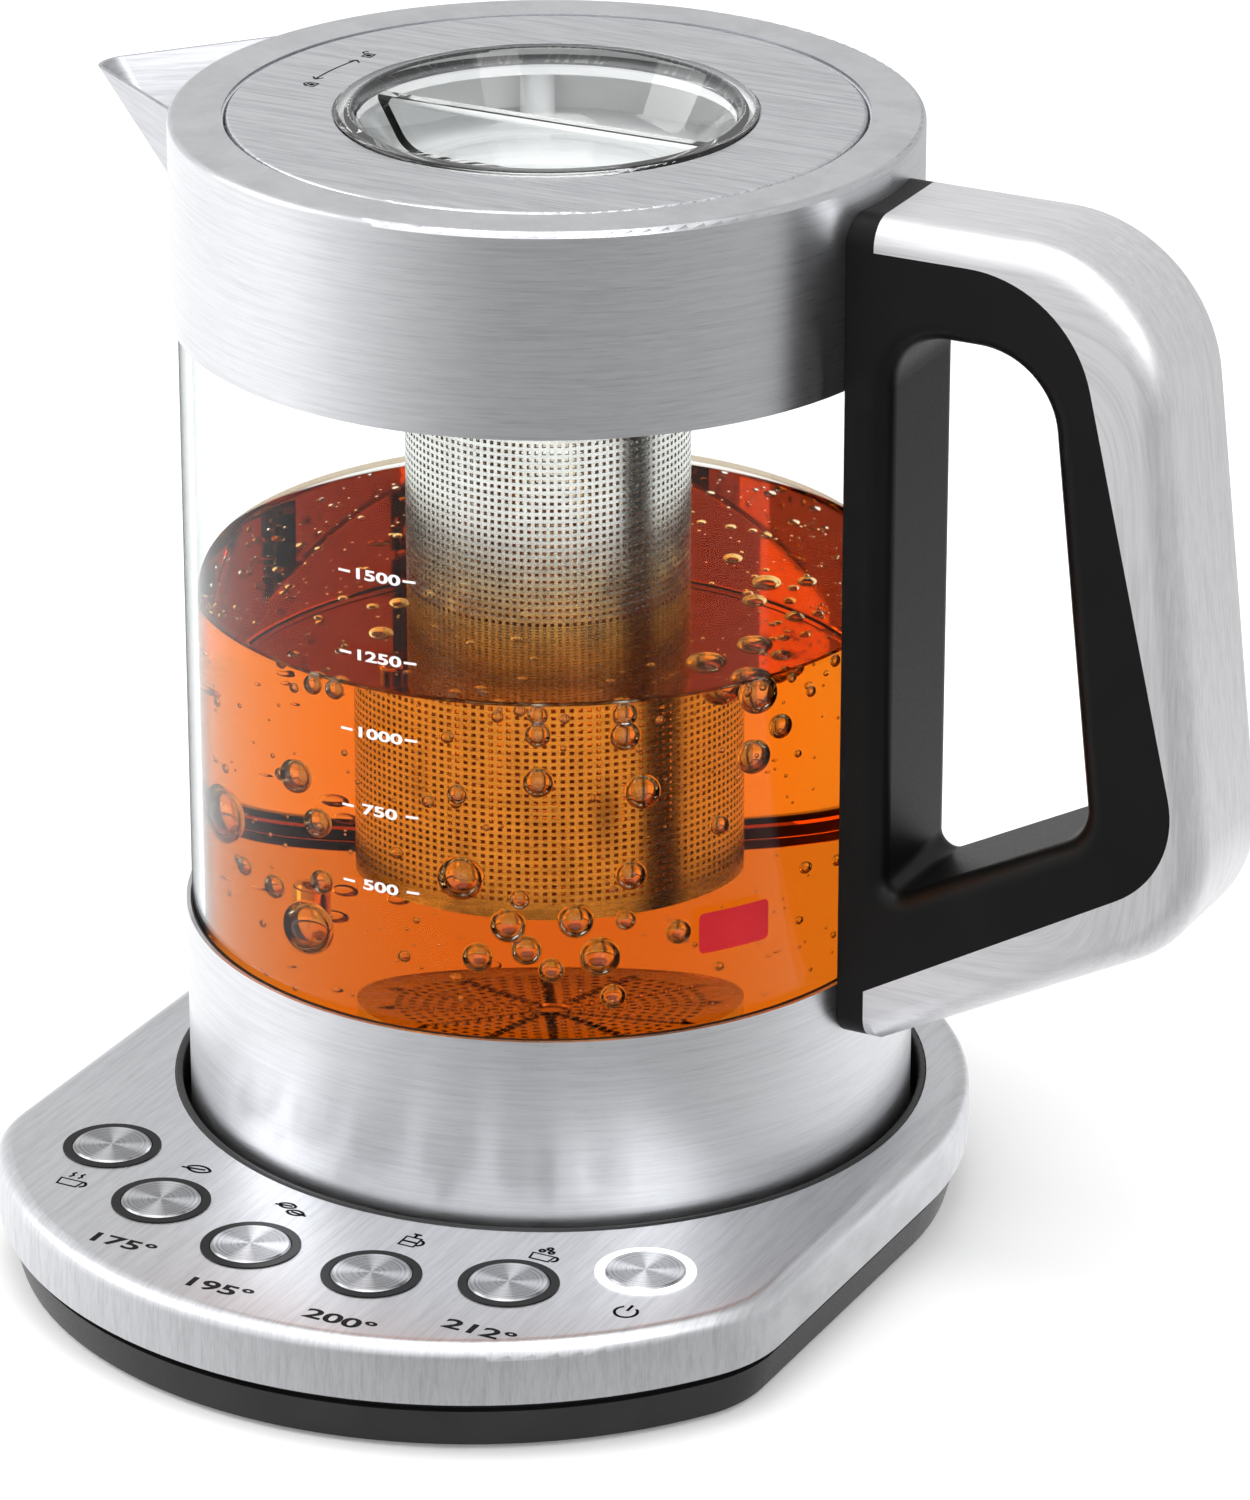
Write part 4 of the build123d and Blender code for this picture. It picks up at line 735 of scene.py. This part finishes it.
class TEAMAKER_OT_tea(bpy.types.Operator):
    """The tea in the jug, with its meniscus against the glass"""

    bl_idname = "teamaker.tea"
    bl_label = "Tea"

    def execute(self, context):
        level = context.scene.tea_maker_sizes.tea_level
        radius, foot, climb = GLASS_INNER - 0.05 * MM, 68.4 * MM, 1.6 * MM
        bottom = PLATE_TOP + 0.02 * MM
        outline = [(0.0, bottom), (foot - 0.3 * MM, bottom), (foot, bottom + 0.3 * MM),
                   (foot, bottom + 2.4 * MM), (radius, bottom + 2.8 * MM), (radius, level)]
        outline += [(radius - climb * (1 - math.cos(a)) * 1.4, level + climb * (1 - math.sin(a)))
                    for a in [math.radians(8 + 82 * i / 9) for i in range(10)]]
        outline.append((0.0, level))
        material, tree, shader, output = clear_solid("Tea_black_brewed", 1.333, gloss=0.1)
        place = add_node(tree, "TexCoord").outputs["Object"]
        height = add_node(tree, "SeparateXYZ", {0: place}).outputs["Z"]
        # painted shade: the tea's top surface lets through only a darker brown, darkening the view down
        # through it
        surface_shade = spread(tree, height, 0.0, 1.0, level - 0.3 * MM, level - 0.05 * MM)
        tree.links.new(mixed(tree, surface_shade, colour("#ffffff"), colour("#9a8468")), shader.inputs["Base Color"])
        tint = (*context.scene.tea_maker_colours.tea, 1.0)
        inside = add_node(tree, "VolumeAbsorption", {"Color": tint, "Density": TEA_DENSITY}).outputs[0]
        tree.links.new(inside, output.inputs["Volume"])
        make_piece("tea", lathe(outline, False), [material], "jug")
        return {"FINISHED"}


# the large bubbles on the glass: degrees from the jug's front, then height and radius in millimetres
WALL_BUBBLES = (
    (-42, 90, 6.0), (-31, 84, 2.0), (-23, 83, 2.5), (-18, 108, 3.5), (-17, 76, 5.5), (-13, 100, 3.0),
    (-12, 88, 2.5), (13, 94, 4.5), (13, 112, 2.0), (16, 78, 3.0), (21, 85, 3.5), (23, 91, 2.0),
    (24, 80, 3.0), (26, 115, 3.0), (26, 125, 2.5), (28, 76, 2.5), (32, 86, 3.5), (36, 78, 4.0),
    (38, 70, 2.5), (40, 86, 2.0), (40, 124, 3.0), (41, 95, 3.0), (43, 112, 3.5), (49, 82, 2.5),
    (56, 103, 2.0), (63, 115, 3.5), (68, 120, 2.5),
)
# the large bubbles under the surface: degrees from the front, then distance from the axis and radius
FLOATING_BUBBLES = (
    (-38, 32, 2.0), (-21, 43, 2.5), (-13, 67, 2.0), (-9, 66, 2.0), (26, 66, 2.0), (40, 66, 2.5),
    (63, 52, 4.0), (65, 63, 4.0), (75, 60, 2.0), (77, 52, 3.5), (94, 52, 2.0), (101, 42, 2.5),
    (115, 43, 3.0), (115, 51, 2.0), (133, 38, 2.0),
)


class TEAMAKER_OT_bubbles(bpy.types.Operator):
    """Air bubbles in the tea and foam at its edge"""

    bl_idname = "teamaker.bubbles"
    bl_label = "Bubbles"

    def execute(self, context):
        sizes = context.scene.tea_maker_sizes
        # rim #8a4a26: painted shade, the bubbles' edges darkened brown
        air = clear_solid("Air_bubble_wall", 1 / 1.333, rim="#8a4a26", rim_shade_start=0.55)[0]
        draw = random.Random(7)
        wall = GLASS_INNER - 0.4 * MM
        large = bmesh.new()
        for azimuth, height, radius in WALL_BUBBLES:
            self.add_bubble(large, azimuth, wall - radius * MM, height * MM, radius * MM, 4)
        for azimuth, distance, radius in FLOATING_BUBBLES:
            height = sizes.tea_level - (radius + 0.15) * MM
            self.add_bubble(large, azimuth, distance * MM, height, radius * MM, 4)
        make_piece("large_bubbles", large, [air], "jug")
        small = bmesh.new()
        low, high = PLATE_TOP + 3 * MM, sizes.tea_level - 2 * MM
        for _ in range(sizes.small_bubbles):
            radius = (0.3 + 1.2 * draw.random() ** 3.5) * MM
            height = low + (high - low) * draw.random()
            distance = wall - radius - 20 * MM * draw.random() ** 2
            self.add_bubble(small, draw.uniform(0, 360), distance, height, radius, 2)
        for _ in range(sizes.small_bubbles // 2):
            radius = (0.3 + 1.1 * draw.random() ** 3) * MM
            distance = 31 * MM + 37 * MM * draw.random() ** 0.6
            height = sizes.tea_level - radius - 0.15 * MM
            self.add_bubble(small, draw.uniform(0, 360), distance, height, radius, 2)
        make_piece("small_bubbles", small, [air], "jug")
        return {"FINISHED"}

    def add_bubble(self, bm, azimuth, distance, height, radius, fineness):
        """One round bubble, at an azimuth in degrees from the jug's front."""
        angle = math.radians(azimuth)
        place = Matrix.Translation((distance * math.sin(angle), -distance * math.cos(angle), height))
        bmesh.ops.create_icosphere(bm, subdivisions=fineness, radius=radius, matrix=place)


class TEAMAKER_OT_infuser(bpy.types.Operator):
    """The infuser's perforated basket and floor, and the finish of its rim"""

    bl_idname = "teamaker.infuser"
    bl_label = "Infuser"

    def execute(self, context):
        sizes = context.scene.tea_maker_sizes
        mesh_steel = brushed_steel("Stainless_perforated_sheet", [3 * MM, 3 * MM, 0.5 * MM], base="#dfdcd7",
                                   dark="#cac7c2", roughness=0.26)
        assign(mesh_steel, "infuser_rim")
        make_piece("infuser_mesh", self.basket(sizes), [mesh_steel], "infuser",
                   ["infuser_basket"], crease=50)
        make_piece("infuser_base_mesh", self.floor(), [mesh_steel], "infuser",
                   ["infuser_floor"], crease=50)
        return {"FINISHED"}

    def basket(self, sizes):
        """A flat grid with holes, rolled into a tube."""
        columns = round(TURN * BASKET_RADIUS / sizes.hole_pitch)
        plain_foot, plain_top = 3 * MM, 19 * MM
        first_row, last_row = BASKET_LOW.z + plain_foot, BASKET_HIGH.z - plain_top
        rows = round((last_row - first_row) / sizes.hole_pitch)
        bar = 1 - sizes.hole_width / sizes.hole_pitch
        bm = bmesh.new()
        bmesh.ops.create_grid(bm, x_segments=2 * columns, y_segments=2 * rows + 1, size=0.5)
        bm.faces.ensure_lookup_table()
        holes = []
        for face in bm.faces:
            middle = face.calc_center_median()
            column = round((middle.x + 0.5) * 2 * columns - 0.5)
            row = round((middle.y + 0.5) * (2 * rows + 1) - 0.5)
            if column % 2 and row % 2:
                holes.append(face)
        bmesh.ops.delete(bm, geom=holes, context="FACES")
        radius = BASKET_RADIUS - BASKET_WALL / 2
        for vert in bm.verts:
            column = round((vert.co.x + 0.5) * 2 * columns)
            row = round((vert.co.y + 0.5) * (2 * rows + 1))
            angle = TURN * (column // 2 + (bar if column % 2 else 0.0)) / columns
            height = first_row + sizes.hole_pitch * (row // 2 + (bar if row % 2 else 0.0))
            height = BASKET_LOW.z if row == 0 else BASKET_HIGH.z if row == 2 * rows + 1 else height
            vert.co = (radius * math.cos(angle), radius * math.sin(angle), height)
        bmesh.ops.remove_doubles(bm, verts=bm.verts, dist=1e-6)
        bmesh.ops.recalc_face_normals(bm, faces=bm.faces)
        bmesh.ops.solidify(bm, geom=bm.faces, thickness=BASKET_WALL)
        return bm

    def floor(self):
        """Rings of holes in a thin disc."""
        bm = bmesh.new()
        pitch, reach = 2.0 * MM, BASKET_RADIUS - BASKET_WALL - 0.02 * MM
        hole_start, hole_end, sectors_per_ring = 0.3, 0.8, 12
        rings = int(reach / pitch) - 1
        for ring in range(rings + 1):
            sectors = sectors_per_ring * max(ring, 1)
            inner = pitch * (ring - 0.5)
            radii = [inner, inner + hole_start * pitch, inner + hole_end * pitch, inner + pitch]
            if ring == 0:
                radii = [0.0, 0.5 * pitch]
            if ring == rings:
                radii = [inner, reach]
            points = [bm.verts.new((radius, 0, BASKET_LOW.z + 0.1 * MM)) for radius in radii]
            lines = [bm.edges.new(pair) for pair in zip(points, points[1:])]
            bmesh.ops.spin(bm, geom=points + lines, cent=(0, 0, 0), axis=(0, 0, 1), angle=TURN,
                           steps=sectors, use_merge=True)
        holes = []
        for face in bm.faces:
            middle = face.calc_center_median()
            radius = math.hypot(middle.x, middle.y)
            ring = int(radius / pitch + 0.5)
            if not 0 < ring < rings:
                continue
            part = (radius - pitch * (ring - 0.5)) / pitch
            sector = int((math.atan2(middle.y, middle.x) % TURN) / TURN * sectors_per_ring * ring)
            if hole_start < part < hole_end and sector % 2:
                holes.append(face)
        bmesh.ops.delete(bm, geom=holes, context="FACES")
        bmesh.ops.remove_doubles(bm, verts=bm.verts, dist=1e-6)
        bmesh.ops.recalc_face_normals(bm, faces=bm.faces)
        bmesh.ops.solidify(bm, geom=bm.faces, thickness=-0.5 * MM)
        return bm


class TEAMAKER_OT_handle(bpy.types.Operator):
    """Finishes of the handle's steel cover and black grip"""

    bl_idname = "teamaker.handle"
    bl_label = "Handle"

    def execute(self, context):
        assign(steel_finishes()["handle"], "handle_cover")
        assign(moulded("Nylon_moulded_grip", "#070707", "#0c0c0c", 0.4, grain=0.4 * MM, depth=0.1,
                       Specular_IOR_Level=0.2),
               "handle_grip")
        return {"FINISHED"}


class TEAMAKER_OT_lid(bpy.types.Operator):
    """Finishes of the lid: brushed plate, clear dial and the white parts below"""

    bl_idname = "teamaker.lid"
    bl_label = "Lid"

    def execute(self, context):
        assign(steel_finishes()["lid"], "lid_plate")
        assign(clear_solid("Copolyester_clear_dial", 1.5, tint="#fdfefe", smudge=0.02)[0], "lid_dial")
        assign(moulded("Polypropylene_moulded_white", "#eceded", "#f4f5f5", 0.35), "lid_core", "lid_base")
        return {"FINISHED"}


class TEAMAKER_OT_lid_marks(bpy.types.Operator):
    """Open and closed padlocks with an arrow, printed on the lid"""

    bl_idname = "teamaker.lid_marks"
    bl_label = "Lid marks"

    def execute(self, context):
        lift = LID_TOP + PRINT_LIFT
        marks = []
        body = [(-1.1, -1.5), (1.1, -1.5), (1.1, 0.3), (-1.1, 0.3)]
        shut = arc((0.0, 0.3), 0.75, 0, 180, 8)
        opened = [(x + 1.5, y + 0.3) for x, y in arc((0.0, 0.3), 0.75, 0, 180, 8)]
        for x, y, shackle in ((-48.6, -6.7, shut), (-47.9, 14.7, opened)):
            place = Matrix.Translation((x * MM, y * MM, lift)) @ Matrix.Rotation(math.radians(90), 4, "Z")
            place = place @ Matrix.Scale(MM, 4)
            marks.append((drawn_line(body, 0.5, True), place.copy()))
            marks.append((drawn_line([(-0.6, -0.6), (0.6, -0.6)], 1.0), place.copy()))
            marks.append((drawn_line(shackle, 0.4), place.copy()))
        sweep = arc((0.0, 0.0), 49.2, 167.0, 184.0, 12)
        first, last = sweep[0], sweep[-1]
        tips = [[first, (first[0] - 1.0, first[1] - 1.6)], [first, (first[0] + 1.3, first[1] - 1.3)],
                [last, (last[0] - 1.2, last[1] + 1.3)], [last, (last[0] + 1.0, last[1] + 1.5)]]
        for points in [sweep] + tips:
            marks.append((drawn_line(points, 0.4), Matrix.Translation((0, 0, lift)) @ Matrix.Scale(MM, 4)))
        make_piece("lid_marks", gather(marks), [pad_ink("Ink_pad_printed_dark")], "lid")
        return {"FINISHED"}


class TEAMAKER_PT_panel(bpy.types.Panel):
    """Lists the steps that dress the tea maker"""

    bl_label = "Tea maker"
    bl_idname = "TEAMAKER_PT_panel"
    bl_space_type = "VIEW_3D"
    bl_region_type = "UI"
    bl_category = "Tea maker"

    def draw(self, context):
        for group in (context.scene.tea_maker_sizes, context.scene.tea_maker_colours):
            for name in group.__annotations__:
                self.layout.prop(group, name)
        for step in STEPS:
            self.layout.operator(step.bl_idname)


STEPS = (
    TEAMAKER_OT_stage,
    TEAMAKER_OT_base,
    TEAMAKER_OT_buttons,
    TEAMAKER_OT_base_marks,
    TEAMAKER_OT_jug_steel,
    TEAMAKER_OT_glass,
    TEAMAKER_OT_volume_scale,
    TEAMAKER_OT_tea,
    TEAMAKER_OT_bubbles,
    TEAMAKER_OT_infuser,
    TEAMAKER_OT_handle,
    TEAMAKER_OT_lid,
    TEAMAKER_OT_lid_marks,
)
CLASSES = (TeaMakerSizes, TeaMakerColours, *STEPS, TEAMAKER_PT_panel)


def register():
    for cls in CLASSES:
        bpy.utils.register_class(cls)
    bpy.types.Scene.tea_maker_sizes = PointerProperty(type=TeaMakerSizes)
    bpy.types.Scene.tea_maker_colours = PointerProperty(type=TeaMakerColours)


def unregister():
    del bpy.types.Scene.tea_maker_colours
    del bpy.types.Scene.tea_maker_sizes
    for cls in reversed(CLASSES):
        bpy.utils.unregister_class(cls)


def main():
    register()
    for step in STEPS:
        group, name = step.bl_idname.split(".")
        getattr(getattr(bpy.ops, group), name)()


if __name__ == "__main__":
    main()
